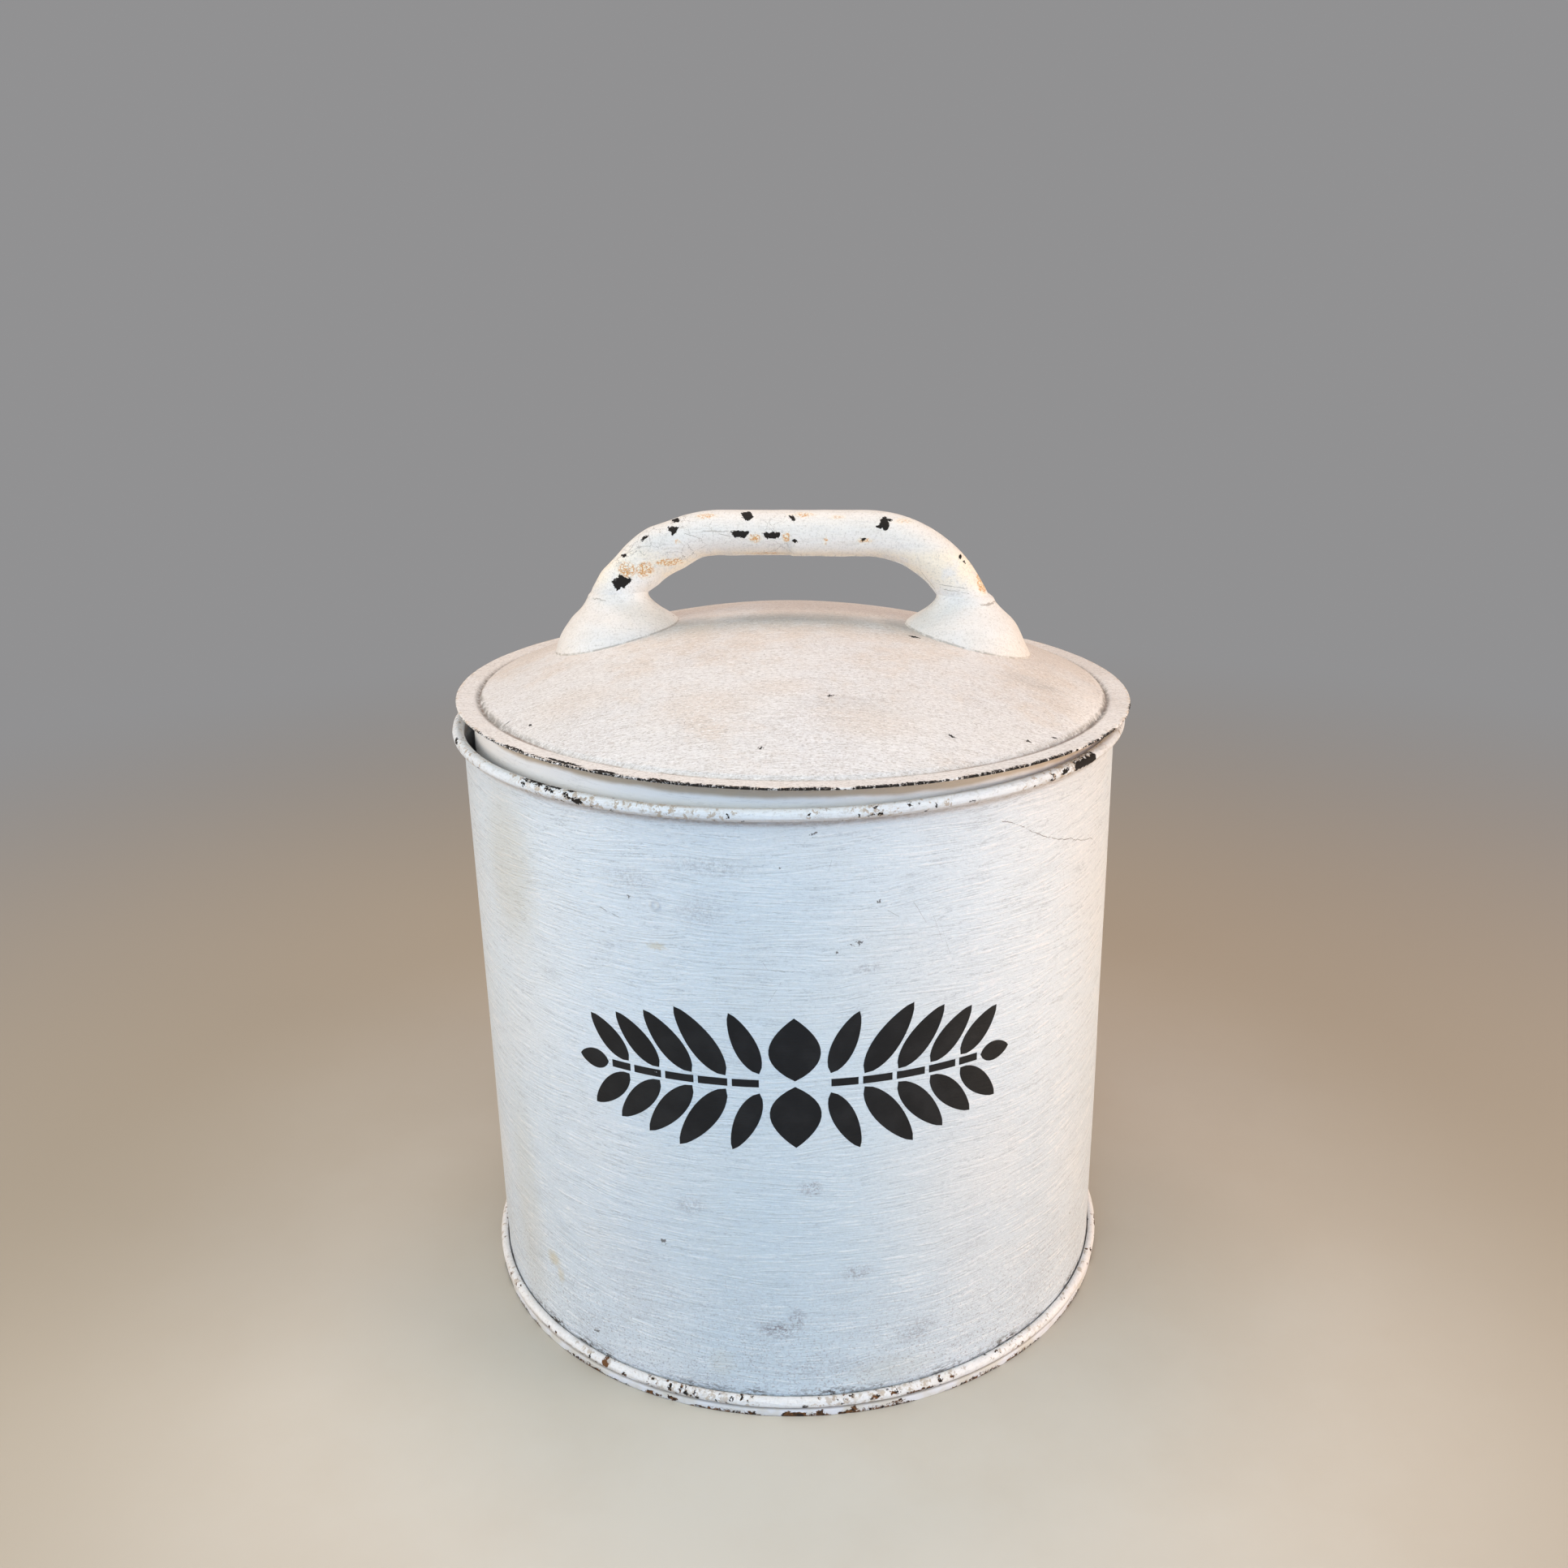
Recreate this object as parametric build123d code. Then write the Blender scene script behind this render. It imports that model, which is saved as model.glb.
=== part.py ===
from build123d import *

import os
from math import cos, radians, sin, sqrt, tan

# Round bread bin of painted tinplate with a domed lid and a tube handle.
# Millimetres, Z up. The origin is the centre of the base, on the surface that the bin stands on.
# X runs across the front, along the handle, and Y runs from the front to the back.

# Sheet and clearances
SHEET = 0.5            # tinplate of the bin and the lid
WIRE_PLAY = 0.25       # between a wire and the sheet that is rolled round it
SEAT_GAP = 0.02        # between a foot and the dome that it is soldered to
TUBE_FIT = 0.05        # between the tube and the neck that it enters
JAM_GAP = 0.3          # between the collar and the wall where the lid is jammed
HEM_CLEARANCE = 0.3    # between the collar's flange and the folded edge of the lid

# Bin
BIN_R = 145.0          # outside of the wall
BIN_H = 268.2          # floor to the top of the rolled rim
RIM_WIRE_D = 3.6
FOOT_WIRE_D = 3.2
CURL_TURN = 305.0      # degrees that the sheet is rolled round each wire
SEAM_W = 6.5           # grooved lock seam down the back
SEAM_RISE = 1.0

# Base pan
SKIRT_H = 3.6          # floor to the face that the rolled foot rests on
SKIRT_BEND_R = 1.2     # outside of the bend from that face to the skirt
SKIRT_LAND = 0.55      # flat left between the rolled foot's line of contact and the bend
RING_INSET = 32.5      # stiffening ring, from the wall to the ring's crest
RING_RISE = 1.2
RING_SLOPE_W = 5.0
SOLDER_LEG = 3.0       # solder run in the corner between wall and base

# Lid, in its own frame: flange underside at Z = 0
FLANGE_PROUD = 4.3     # edge of the flange outside the wall
HEM_W = 4.0            # width of the folded edge
COLLAR_PLAY = 2.4      # all round, when the lid is centred in the mouth
COLLAR_DEPTH = 20.0
COLLAR_HEM_H = 4.0     # height of the collar's folded lower edge
CHANNEL_INSET = 0.8    # from the collar to where the flange turns down into the channel
CHANNEL_SLOPE_W = 2.2  # each side of the channel
CHANNEL_DEPTH = 1.3    # below the top of the flange
DOME_EDGE_RISE = 1.2   # edge of the dome above the top of the flange
DOME_H = 29.8          # apex above the edge of the dome
PRESSED_R = 0.9        # pressed corners of the channel

# Lid's place: it sits askew, as far as its collar lets it down
LID_STAND_OFF = 7.4    # flange underside above the rim, at the middle
LID_TILT = 1.18        # degrees, right side down

# Handle
TUBE_D = 19.7
TUBE_WALL = 0.8
BAR_RISE = 36.6        # middle of the bar above the apex of the dome
BAR_STRAIGHT = 62.0    # straight stretch of the bar
BEND_TURN = 60.0       # degrees from the bar to a leg
TUBE_BEND_R = 50.0     # to the middle of the tube
LAP_W = 5.0            # lapped seam along the underside of the tube
LAP_RISE = 0.6
SOCKET_DEPTH = 8.0     # tube inside a foot

# Bell feet
FOOT_R = 29.6          # skirt of the bell
FOOT_SHEET = 0.7
NECK_RISE = 8.0        # top of the neck above the apex of the dome
NECK_WALL_X = 1.5      # neck outside the tube, along the handle
NECK_WALL_Y = 1.0      # neck outside the tube, across it
TRIM = 2.0             # cut off the skirt where the dome is lowest

# The bell's outline: share of its height, share of the way from neck to skirt
BELL = (
    (0.00, 1.000),
    (0.18, 0.935),
    (0.375, 0.845),
    (0.557, 0.735),
    (0.707, 0.480),
    (0.82, 0.210),
    (0.907, 0.050),
    (1.00, 0.000),
)

# Sizes that follow
BORE_R = BIN_R - SHEET
RIM_INNER_R = RIM_WIRE_D / 2 + WIRE_PLAY
RIM_WIRE_R = BIN_R + RIM_INNER_R
RIM_Z = BIN_H - RIM_INNER_R - SHEET
FOOT_INNER_R = FOOT_WIRE_D / 2 + WIRE_PLAY
FOOT_WIRE_R = BIN_R + FOOT_INNER_R
FOOT_WIRE_Z = SKIRT_H + SHEET + FOOT_INNER_R
SKIRT_R = FOOT_WIRE_R + SKIRT_LAND + SKIRT_BEND_R
FLANGE_R = BIN_R + FLANGE_PROUD
FLANGE_T = 2 * SHEET
COLLAR_R = BORE_R - COLLAR_PLAY
CHANNEL_OUT_R = COLLAR_R - CHANNEL_INSET
CHANNEL_R = CHANNEL_OUT_R - CHANNEL_SLOPE_W
DOME_EDGE_R = CHANNEL_R - CHANNEL_SLOPE_W
DOME_EDGE_Z = FLANGE_T + DOME_EDGE_RISE
DOME_R = (DOME_EDGE_R**2 + DOME_H**2) / (2 * DOME_H)
APEX_Z = DOME_EDGE_Z + DOME_H
BAR_Z = APEX_Z + BAR_RISE
NECK_Z = APEX_Z + NECK_RISE
BAR_CORNER_X = BAR_STRAIGHT / 2 + TUBE_BEND_R * tan(radians(BEND_TURN) / 2)
FOOT_X = BAR_CORNER_X + (BAR_Z - NECK_Z) / tan(radians(BEND_TURN))
NECK_HALF_X = TUBE_D / 2 / sin(radians(BEND_TURN)) + NECK_WALL_X
NECK_HALF_Y = TUBE_D / 2 + NECK_WALL_Y


def dome_z(radius):
    """Height of the dome's outside at a radius."""
    return APEX_Z - DOME_R + sqrt(DOME_R**2 - radius**2)


def lid_place():
    """Lid's frame in the bin's frame, with the collar against the right side of the mouth."""
    flange_z = BIN_H + LID_STAND_OFF
    tilt = radians(LID_TILT)
    depth_at_rim = (flange_z - COLLAR_R * sin(tilt) - RIM_Z) / cos(tilt)
    collar_reach = COLLAR_R * cos(tilt) - depth_at_rim * sin(tilt)
    return Pos(BORE_R - collar_reach - JAM_GAP, 0, flange_z) * Rot(0, LID_TILT, 0)


def turned(outline):
    """Ring turned from a closed outline of radius and height."""
    return revolve(Plane.XZ * outline, Axis.Z)


def beside(path, share):
    """Point one sheet to the right of the path, at a share of its length."""
    along = path % share
    return path @ share + Vector(along.Y, -along.X) * SHEET


def sheet_outline(*runs):
    """Outline of one sheet that has the tangent runs and bends as its left face."""
    path = Wire([edge for run in runs for edge in run.edges()])
    edges = path.order_edges()
    reached = 0
    far_face = []
    for edge in edges:
        start = reached / path.length
        reached += edge.length
        end = reached / path.length
        if edge.geom_type == GeomType.LINE:
            far_face.append(Line(beside(path, start), beside(path, end)))
        else:
            middle = beside(path, (start + end) / 2)
            far_face.append(ThreePointArc(beside(path, start), middle, beside(path, end)))
    cut_edges = [Line(path @ share, beside(path, share)) for share in (0, 1)]
    return make_face(edges + far_face + cut_edges)


def body_wall():
    """Wall of one sheet, rolled outwards round a wire at the rim and at the foot."""
    half_turn = 180
    rim = CenterArc((RIM_WIRE_R, RIM_Z), RIM_INNER_R, half_turn - CURL_TURN, CURL_TURN)
    upright = Line((BIN_R, RIM_Z), (BIN_R, FOOT_WIRE_Z))
    foot = CenterArc((FOOT_WIRE_R, FOOT_WIRE_Z), FOOT_INNER_R, half_turn, CURL_TURN)
    return turned(sheet_outline(rim, upright, foot)) + lock_seam()


def lock_seam():
    """Flattened fold that joins the two ends of the sheet, down the back."""
    depth = SEAM_RISE + SHEET / 2
    fold = Pos(0, BIN_R - SHEET / 2 + depth / 2) * Rectangle(SEAM_W, depth)
    fold = fillet(fold.vertices().group_by(Axis.Y)[-1], SEAM_RISE * 0.45)
    low = FOOT_WIRE_Z + FOOT_INNER_R + SHEET
    high = RIM_Z - RIM_INNER_R - SHEET
    return Pos(0, 0, low) * extrude(fold, high - low)


def wire_ring(middle_r, wire_d, height):
    """Steel wire bent to a closed ring."""
    return turned(Pos(middle_r, height) * Circle(wire_d / 2))


def base_pan():
    """Pressed disc with a stiffening ring, turned down at its edge to a folded skirt."""
    ring_r = BORE_R - RING_INSET
    path = FilletPolyline(
        (0, SKIRT_H),
        (ring_r - RING_SLOPE_W, SKIRT_H),
        (ring_r, SKIRT_H + RING_RISE),
        (ring_r + RING_SLOPE_W, SKIRT_H),
        (SKIRT_R, SKIRT_H),
        (SKIRT_R, 0),
        radius=SKIRT_BEND_R,
    )
    fold_h = SKIRT_H - SKIRT_BEND_R
    fold = Pos(SKIRT_R - 1.5 * SHEET, fold_h / 2) * Rectangle(SHEET, fold_h)
    return turned(sheet_outline(path) + fold)


def base_solder():
    """Solder run in the corner between the wall and the base pan."""
    foot = (BORE_R - SOLDER_LEG, SKIRT_H)
    corner = (BORE_R, SKIRT_H)
    top = (BORE_R, SKIRT_H + SOLDER_LEG)
    return turned(make_face(Polyline(foot, corner, top, close=True)))


def lid_top():
    """Dome, channel and flange pressed from one sheet, with the edge folded flat under."""
    middle_r = DOME_EDGE_R / 2
    dome = ThreePointArc((0, APEX_Z), (middle_r, dome_z(middle_r)), (DOME_EDGE_R, DOME_EDGE_Z))
    slope = dome % 1
    shoulder = dome @ 1 + slope * PRESSED_R
    channel = FilletPolyline(
        dome @ 1,
        shoulder,
        (CHANNEL_R, FLANGE_T - CHANNEL_DEPTH),
        (CHANNEL_OUT_R, FLANGE_T),
        (FLANGE_R, FLANGE_T),
        radius=PRESSED_R,
    )
    layer = Pos(FLANGE_R - HEM_W / 2, SHEET / 2) * Rectangle(HEM_W, SHEET)
    section = sheet_outline(dome, channel) + layer
    edge = section.vertices().group_by(Axis.X)[-1]
    return turned(chamfer(edge, SHEET * 0.4))


def lid_collar():
    """Band that plugs into the mouth, with a soldered flange above and a folded edge below."""
    flange_r = FLANGE_R - HEM_W - HEM_CLEARANCE
    inside_r = COLLAR_R - SHEET
    fold_r = inside_r - SHEET
    fold_z = COLLAR_HEM_H - COLLAR_DEPTH
    band = Polyline(
        (flange_r, 0),
        (COLLAR_R, 0),
        (COLLAR_R, -COLLAR_DEPTH),
        (fold_r, -COLLAR_DEPTH),
        (fold_r, fold_z),
        (inside_r, fold_z),
        (inside_r, SHEET),
        (flange_r, SHEET),
        close=True,
    )
    return turned(make_face(band))


def handle_path():
    """Middle line of the tube: a straight bar, two bends and two short legs into the feet."""
    turn = radians(BEND_TURN)
    end_z = NECK_Z - SOCKET_DEPTH * sin(turn)
    end_x = FOOT_X + SOCKET_DEPTH * cos(turn)
    return FilletPolyline(
        (-end_x, 0, end_z),
        (-BAR_CORNER_X, 0, BAR_Z),
        (BAR_CORNER_X, 0, BAR_Z),
        (end_x, 0, end_z),
        radius=TUBE_BEND_R,
    )


def across(path):
    """Plane square to the start of the middle line, with its Y towards the underside."""
    return Plane(origin=path @ 0, x_dir=(0, -1, 0), z_dir=path % 0)


def tube_section(play):
    """Outside of the tube with its lapped seam, made larger all round by the play."""
    radius = TUBE_D / 2 + play
    lap_depth = LAP_RISE + TUBE_WALL / 2
    lap = Rectangle(LAP_W + 2 * play, lap_depth)
    return Circle(radius) + Pos(0, radius + LAP_RISE - lap_depth / 2) * lap


def handle_tube():
    """Tube rolled from sheet, with a lapped seam along its underside."""
    path = handle_path()
    bore = Circle(TUBE_D / 2 - TUBE_WALL)
    return sweep(across(path) * (tube_section(0) - bore), path)


def bell(shrink, side):
    """Bell of a foot, closed above and below, with each ring made smaller by the shrink."""
    skirt_z = dome_z(FOOT_X + FOOT_R) - TRIM
    rings = []
    for level, flare in BELL:
        half_x = NECK_HALF_X + flare * (FOOT_R - NECK_HALF_X) - shrink
        half_y = NECK_HALF_Y + flare * (FOOT_R - NECK_HALF_Y) - shrink
        height = skirt_z + level * (NECK_Z - skirt_z)
        rings.append(Pos(side * FOOT_X, 0, height) * Ellipse(half_x, half_y))
    return loft(rings)


def handle_foot(side):
    """Pressed bell foot, open below, cut to the dome and with the tube let into its neck."""
    path = handle_path()
    tube = sweep(across(path) * tube_section(TUBE_FIT), path)
    dome = Pos(0, 0, APEX_Z - DOME_R) * Sphere(DOME_R + SEAT_GAP)
    return bell(0, side) - bell(FOOT_SHEET, side) - dome - tube


def main():
    os.makedirs("parts", exist_ok=True)
    place = lid_place()
    parts = {
        "body_wall": body_wall(),
        "rim_wire": wire_ring(RIM_WIRE_R, RIM_WIRE_D, RIM_Z),
        "foot_wire": wire_ring(FOOT_WIRE_R, FOOT_WIRE_D, FOOT_WIRE_Z),
        "base_pan": base_pan(),
        "base_solder": base_solder(),
        "lid_top": place * lid_top(),
        "lid_collar": place * lid_collar(),
        "handle_tube": place * handle_tube(),
        "handle_foot_left": place * handle_foot(-1),
        "handle_foot_right": place * handle_foot(1),
    }
    for name, part in parts.items():
        export_step(part, f"parts/{name}.step")


main()
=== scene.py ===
# %% [markdown]
# # A round painted bread bin
#
# The real bin is tinplate: a drum of one rolled sheet, a pressed base, and a domed lid with a tube handle on two
# pressed bell feet. Somebody has brushed thick white paint over an older black coat, and use has chipped it.
#
# The solid model already holds every piece at its true size. This lesson loads it as a fixed frame, builds a finer
# skin over each painted piece, and then spends most of its effort on the paint.

# %% Load the frame
import math

import bmesh
import bpy
from mathutils import Matrix, Vector, noise


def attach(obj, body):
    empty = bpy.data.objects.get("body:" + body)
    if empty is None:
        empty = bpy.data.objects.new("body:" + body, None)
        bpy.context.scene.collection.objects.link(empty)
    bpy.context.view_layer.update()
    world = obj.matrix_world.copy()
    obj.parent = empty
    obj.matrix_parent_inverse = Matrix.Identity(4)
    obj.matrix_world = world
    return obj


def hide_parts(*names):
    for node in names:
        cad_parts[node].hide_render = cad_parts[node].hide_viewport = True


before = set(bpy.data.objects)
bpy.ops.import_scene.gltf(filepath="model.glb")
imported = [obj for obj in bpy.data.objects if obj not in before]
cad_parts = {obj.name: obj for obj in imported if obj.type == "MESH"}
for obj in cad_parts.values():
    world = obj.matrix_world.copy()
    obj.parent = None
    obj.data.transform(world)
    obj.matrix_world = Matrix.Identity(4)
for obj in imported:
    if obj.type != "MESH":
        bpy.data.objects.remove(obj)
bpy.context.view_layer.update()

print("nodes:", sorted(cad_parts))

# %% [markdown]
# ## Sizes
#
# Sheet metal is drawn by its outside, so the skins below need the same few sizes as the solids. They are kept in
# millimetres, which suits sheet metal, and each mesh is shrunk to metres when it is finished.

# %% Sizes in millimetres
SHEET = 0.5
WALL_R = 145.0
BORE_R = WALL_R - SHEET
RIM_MID_R, RIM_MID_Z, RIM_BEAD_R = 147.05, 265.65, 2.55
FOOT_MID_R, FOOT_MID_Z, FOOT_BEAD_R = 146.85, 5.95, 2.35
SKIRT_R, SKIRT_TOP = 148.6, 3.6
PAINTED_DOWN_TO = 243.0
COLLAR_R, COLLAR_DEPTH = 142.1, 20.0
FLANGE_R, FLANGE_TOP = 149.3, 1.0
DOME_EDGE_R, DOME_EDGE_Z, DOME_H = 136.9, 2.2, 29.8
DOME_R = (DOME_EDGE_R**2 + DOME_H**2) / (2 * DOME_H)
APEX_Z = DOME_EDGE_Z + DOME_H
TUBE_R, TUBE_BEND_R, BAR_HALF, BAR_Z = 9.85, 50.0, 31.0, 68.6
LEG_TURN = math.radians(60)
NECK_Z = 40.0


def dome_z(radius):
    """Height of the lid's dome at a radius, in the lid's own frame."""
    return APEX_Z - DOME_R + math.sqrt(DOME_R**2 - radius**2)


print("dome radius", round(DOME_R, 1), "mm")

# %% [markdown]
# ## Where the lid sits
#
# The lid isn't seated. Its collar has jammed against the right side of the mouth, so it leans 1.18 degrees and stands
# 7.4 mm proud in the middle. Everything on the lid is modelled level and true, and this one matrix puts it in place.

# %% The lid's place
MOUTH_Z, LID_PROUD, JAM_GAP = 268.2, 7.4, 0.3
LID_TILT = math.radians(1.18)
lid_height = MOUTH_Z + LID_PROUD
collar_depth_at_rim = (lid_height - COLLAR_R * math.sin(LID_TILT) - RIM_MID_Z) / math.cos(LID_TILT)
collar_reach = COLLAR_R * math.cos(LID_TILT) - collar_depth_at_rim * math.sin(LID_TILT)
lid_shift = BORE_R - collar_reach - JAM_GAP
LID_PLACE = Matrix.Translation((lid_shift, 0, lid_height)) @ Matrix.Rotation(LID_TILT, 4, "Y")
print("lid shifted", round(lid_shift, 2), "mm to the right")

# %% [markdown]
# ## Camera
#
# The photograph was taken standing, from a little above the lid, with a wide phone lens held close. A camera's place
# can be found by eye, but here it was fitted to the ellipses of rim, base and lid, which fixes height, tilt and lens
# together. The small roll is the phone's own lean.

# %% Camera
PHOTO_SIDE, FOCAL_PIXELS, SENSOR = 1932, 1786, 36
CAMERA_PLACE = (0, -0.6365, 0.4423)
yaw, pitch, roll = (math.radians(a) for a in (-0.23, 18.60, -1.15))
look = Vector((math.sin(yaw) * math.cos(pitch), math.cos(yaw) * math.cos(pitch), -math.sin(pitch)))
level_right = Vector((math.cos(yaw), -math.sin(yaw), 0))
level_up = level_right.cross(look)
right = math.cos(roll) * level_right + math.sin(roll) * level_up
up = math.cos(roll) * level_up - math.sin(roll) * level_right
camera = bpy.data.objects.new("camera", bpy.data.cameras.new("camera"))
camera.data.lens = FOCAL_PIXELS / PHOTO_SIDE * SENSOR
camera.data.sensor_width = SENSOR
camera.data.clip_start = 0.02
camera.matrix_world = Matrix.Translation(CAMERA_PLACE) @ Matrix((right, up, -look)).transposed().to_4x4()
bpy.context.scene.collection.objects.link(camera)
bpy.context.scene.camera = camera
print("lens", round(camera.data.lens, 2), "mm")

# %% [markdown]
# ## Light
#
# White paint only shows its brush marks where light skims it, and it takes on the colour of whatever lights it. The
# room is cool in front, where the sky comes in, and warm at the sides, most of all at the right. Eight soft panels
# and a grey room give that. Their strengths came from rendering the bin under each lamp alone, and mixing those
# pictures until the white of wall, feet and rim had the photograph's values.

# %% Lights
ROOM_GREY = (0.285, 0.283, 0.288, 1)
MIDDLE_OF_BIN = (0, 0, 0.15)


def soft_panel(name, place, aim, size, power, colour):
    """Square area lamp at a place, turned to a point."""
    lamp = bpy.data.lights.new(name, "AREA")
    lamp.size = size
    lamp.energy = power
    lamp.color = colour
    panel = bpy.data.objects.new(name, lamp)
    facing = (Vector(aim) - Vector(place)).to_track_quat("-Z", "Y")
    panel.matrix_world = Matrix.Translation(place) @ facing.to_matrix().to_4x4()
    bpy.context.scene.collection.objects.link(panel)


for name, place, size, power, colour in (
    ("panel_above", (-0.05, 0.30, 1.32), 0.42, 4.9, (1.0, 0.75, 0.64)),
    ("panel_above_front", (0.0, -0.8, 1.4), 0.9, 5.8, (0.97, 1.0, 0.95)),
    ("panel_front", (-0.25, -1.5, 0.95), 1.1, 2.6, (0.10, 0.70, 1.0)),
    ("panel_front_low", (-0.1, -1.4, 0.35), 0.8, 3.7, (0.05, 0.36, 1.0)),
    ("panel_left", (-1.5, -0.1, 0.55), 0.9, 8.2, (1.0, 0.76, 0.56)),
    ("panel_left_front", (-1.2, -1.0, 0.8), 0.9, 7.6, (0.92, 1.0, 0.99)),
    ("panel_right", (1.5, 0.0, 0.55), 0.9, 4.2, (1.0, 0.48, 0.30)),
    ("panel_right_low", (1.4, -0.5, 0.30), 0.6, 14.3, (1.0, 0.84, 0.66)),
):
    soft_panel(name, place, MIDDLE_OF_BIN, size, power, colour)
world = bpy.data.worlds.new("room")
world.use_nodes = True
world.node_tree.nodes["Background"].inputs["Color"].default_value = ROOM_GREY
world.node_tree.nodes["Background"].inputs["Strength"].default_value = 1.0
bpy.context.scene.world = world
bpy.context.scene.view_settings.view_transform = "Standard"

# %% [markdown]
# ## A pen for sections
#
# Nearly every piece of this bin is turned: its section goes once round the middle. So each one starts as a section
# drawn by a pen. The pen is a single point, extruded for a straight run and spun for a bend, which leaves the same
# run of metal that a tinsmith would bend. Corners can be rounded afterwards with a bevel on their points. One long
# spin gets slow as the mesh grows, so the section is spun an eighth of the way and that part is copied round.

# %% The pen


def pen_at(bm, radius, height):
    """Put the pen down at a radius and a height."""
    return bm.verts.new((radius, 0, height))


def run_to(bm, pen, radius, height, step=None):
    """Draw a straight run, in equal steps if a step is given."""
    start = pen.co.copy()
    end = Vector((radius, 0, height))
    count = max(1, round((end - start).length / step)) if step else 1
    for number in range(1, count + 1):
        pen = bmesh.ops.extrude_vert_indiv(bm, verts=[pen])["verts"][0]
        pen.co = start.lerp(end, number / count)
    return pen


def bend_round(bm, pen, radius, height, turn, steps):
    """Draw a bend about a centre, anticlockwise for a positive turn."""
    made = bmesh.ops.spin(
        bm, geom=[pen], cent=(radius, 0, height), axis=(0, -1, 0), angle=math.radians(turn), steps=steps
    )
    return made["geom_last"][0]


def round_corners(bm, corners, size, segments=3):
    """Round points of a section."""
    bmesh.ops.bevel(
        bm, geom=corners, offset=size, offset_type="OFFSET", affect="VERTICES", segments=segments, profile=0.5,
        material=-1, clamp_overlap=True,
    )


def turn_round(bm, steps):
    """Spin the section through an eighth of a turn, copy that round to a full turn, and join it up."""
    bmesh.ops.spin(
        bm, geom=bm.verts[:] + bm.edges[:], cent=(0, 0, 0), axis=(0, 0, 1), angle=math.tau / 8, steps=steps // 8
    )
    for share in (8, 4, 2):
        copy = bmesh.ops.duplicate(bm, geom=bm.verts[:] + bm.edges[:] + bm.faces[:])["geom"]
        turned = [item for item in copy if isinstance(item, bmesh.types.BMVert)]
        bmesh.ops.rotate(bm, cent=(0, 0, 0), matrix=Matrix.Rotation(math.tau / share, 3, "Z"), verts=turned)
    bmesh.ops.remove_doubles(bm, verts=bm.verts, dist=0.002)
    bmesh.ops.recalc_face_normals(bm, faces=bm.faces)


# %% [markdown]
# ## Finishing a piece
#
# A finished piece has its place in its mesh, so that its object stays at the origin and every pattern that reads object
# coordinates stays put. The same helper hangs the piece on the body that it rides on, hides the solid that it stands
# for, and works in metres from here on.

# %% Finish a piece


def finish_piece(name, bm, body, stands_for=(), place=None, crease=35):
    """Place a mesh, make it an object and let it ride on its body."""
    if place:
        bmesh.ops.transform(bm, matrix=place, verts=bm.verts)
    bmesh.ops.scale(bm, vec=(0.001, 0.001, 0.001), verts=bm.verts)
    mesh = bpy.data.meshes.new(name)
    bm.to_mesh(mesh)
    bm.free()
    mesh.shade_smooth()
    mesh.set_sharp_from_angle(angle=math.radians(crease))
    made = bpy.data.objects.new(name, mesh)
    bpy.context.scene.collection.objects.link(made)
    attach(made, body)
    if stands_for:
        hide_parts(*stands_for)
    print(name, len(mesh.polygons), "faces")
    return made


def give_thickness(made, thickness):
    """Give a skin its sheet, with the inner face in the next material slot."""
    sheet = made.modifiers.new("sheet", "SOLIDIFY")
    sheet.thickness = thickness * 0.001
    sheet.offset = -1
    sheet.material_offset = 1
    sheet.use_even_offset = True


# %% [markdown]
# ## The wall
#
# The wall is one sheet with its top and bottom edges rolled outwards round a wire, which is what keeps a tin mouth
# round and safe to the hand. The section is drawn as the sheet's inner face, so it runs round the outside of both
# beads, and the sheet's thickness then grows outwards. Inside, the brush reached only the top two and a half
# centimetres, and the faces below that take bare tin. A spun drum is too perfect, so the sheet gets a hand-rolled
# ripple and the beads get the lumps of a thick coat. Only a hair of each is needed for soft light to show it.

# %% The wall
RIPPLE_LOW, RIPPLE_HIGH, RIPPLE_FADE = 9, 262, 25
ROLL_TURN = 305


def ripple(x, y, z):
    """How far the rolled sheet stands off a true drum, nothing at the beads."""
    fade = min(1.0, max(0.0, (z - RIPPLE_LOW) / RIPPLE_FADE)) * min(1.0, max(0.0, (RIPPLE_HIGH - z) / RIPPLE_FADE))
    slow = noise.noise(Vector((x / 62, y / 62, z / 95)) + Vector((3.1, 0.4, 7.7)))
    quick = noise.noise(Vector((x / 21, y / 21, z / 30)) + Vector((0.6, 5.2, 1.9)))
    return fade * (0.30 * slow + 0.06 * quick)


def rough_bead(vert, mid_r, mid_z, depth=0.07):
    """Let a bead's coat of paint swell and sink round its wire."""
    radius = math.hypot(vert.co.x, vert.co.y)
    out = Vector((vert.co.x / radius * (radius - mid_r), vert.co.y / radius * (radius - mid_r), vert.co.z - mid_z))
    lump = noise.noise(vert.co / 4.2) + 0.6 * noise.noise(vert.co / 1.9)
    vert.co += out.normalized() * depth * (lump - 1.6)


bm = bmesh.new()
roll_start = math.radians(180 - ROLL_TURN)
pen = pen_at(bm, RIM_MID_R + RIM_BEAD_R * math.cos(roll_start), RIM_MID_Z + RIM_BEAD_R * math.sin(roll_start))
pen = bend_round(bm, pen, RIM_MID_R, RIM_MID_Z, ROLL_TURN, 26)
pen = run_to(bm, pen, BORE_R, FOOT_MID_Z, 5.0)
bend_round(bm, pen, FOOT_MID_R, FOOT_MID_Z, ROLL_TURN, 22)
turn_round(bm, 480)
for vert in bm.verts:
    radius = math.hypot(vert.co.x, vert.co.y)
    if radius < BORE_R + 0.01 and RIPPLE_LOW < vert.co.z < RIPPLE_HIGH:
        vert.co.xy *= (radius + ripple(*vert.co)) / radius
    elif vert.co.z > RIPPLE_HIGH:
        rough_bead(vert, RIM_MID_R, RIM_MID_Z)
    else:
        rough_bead(vert, FOOT_MID_R, FOOT_MID_Z)
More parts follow.
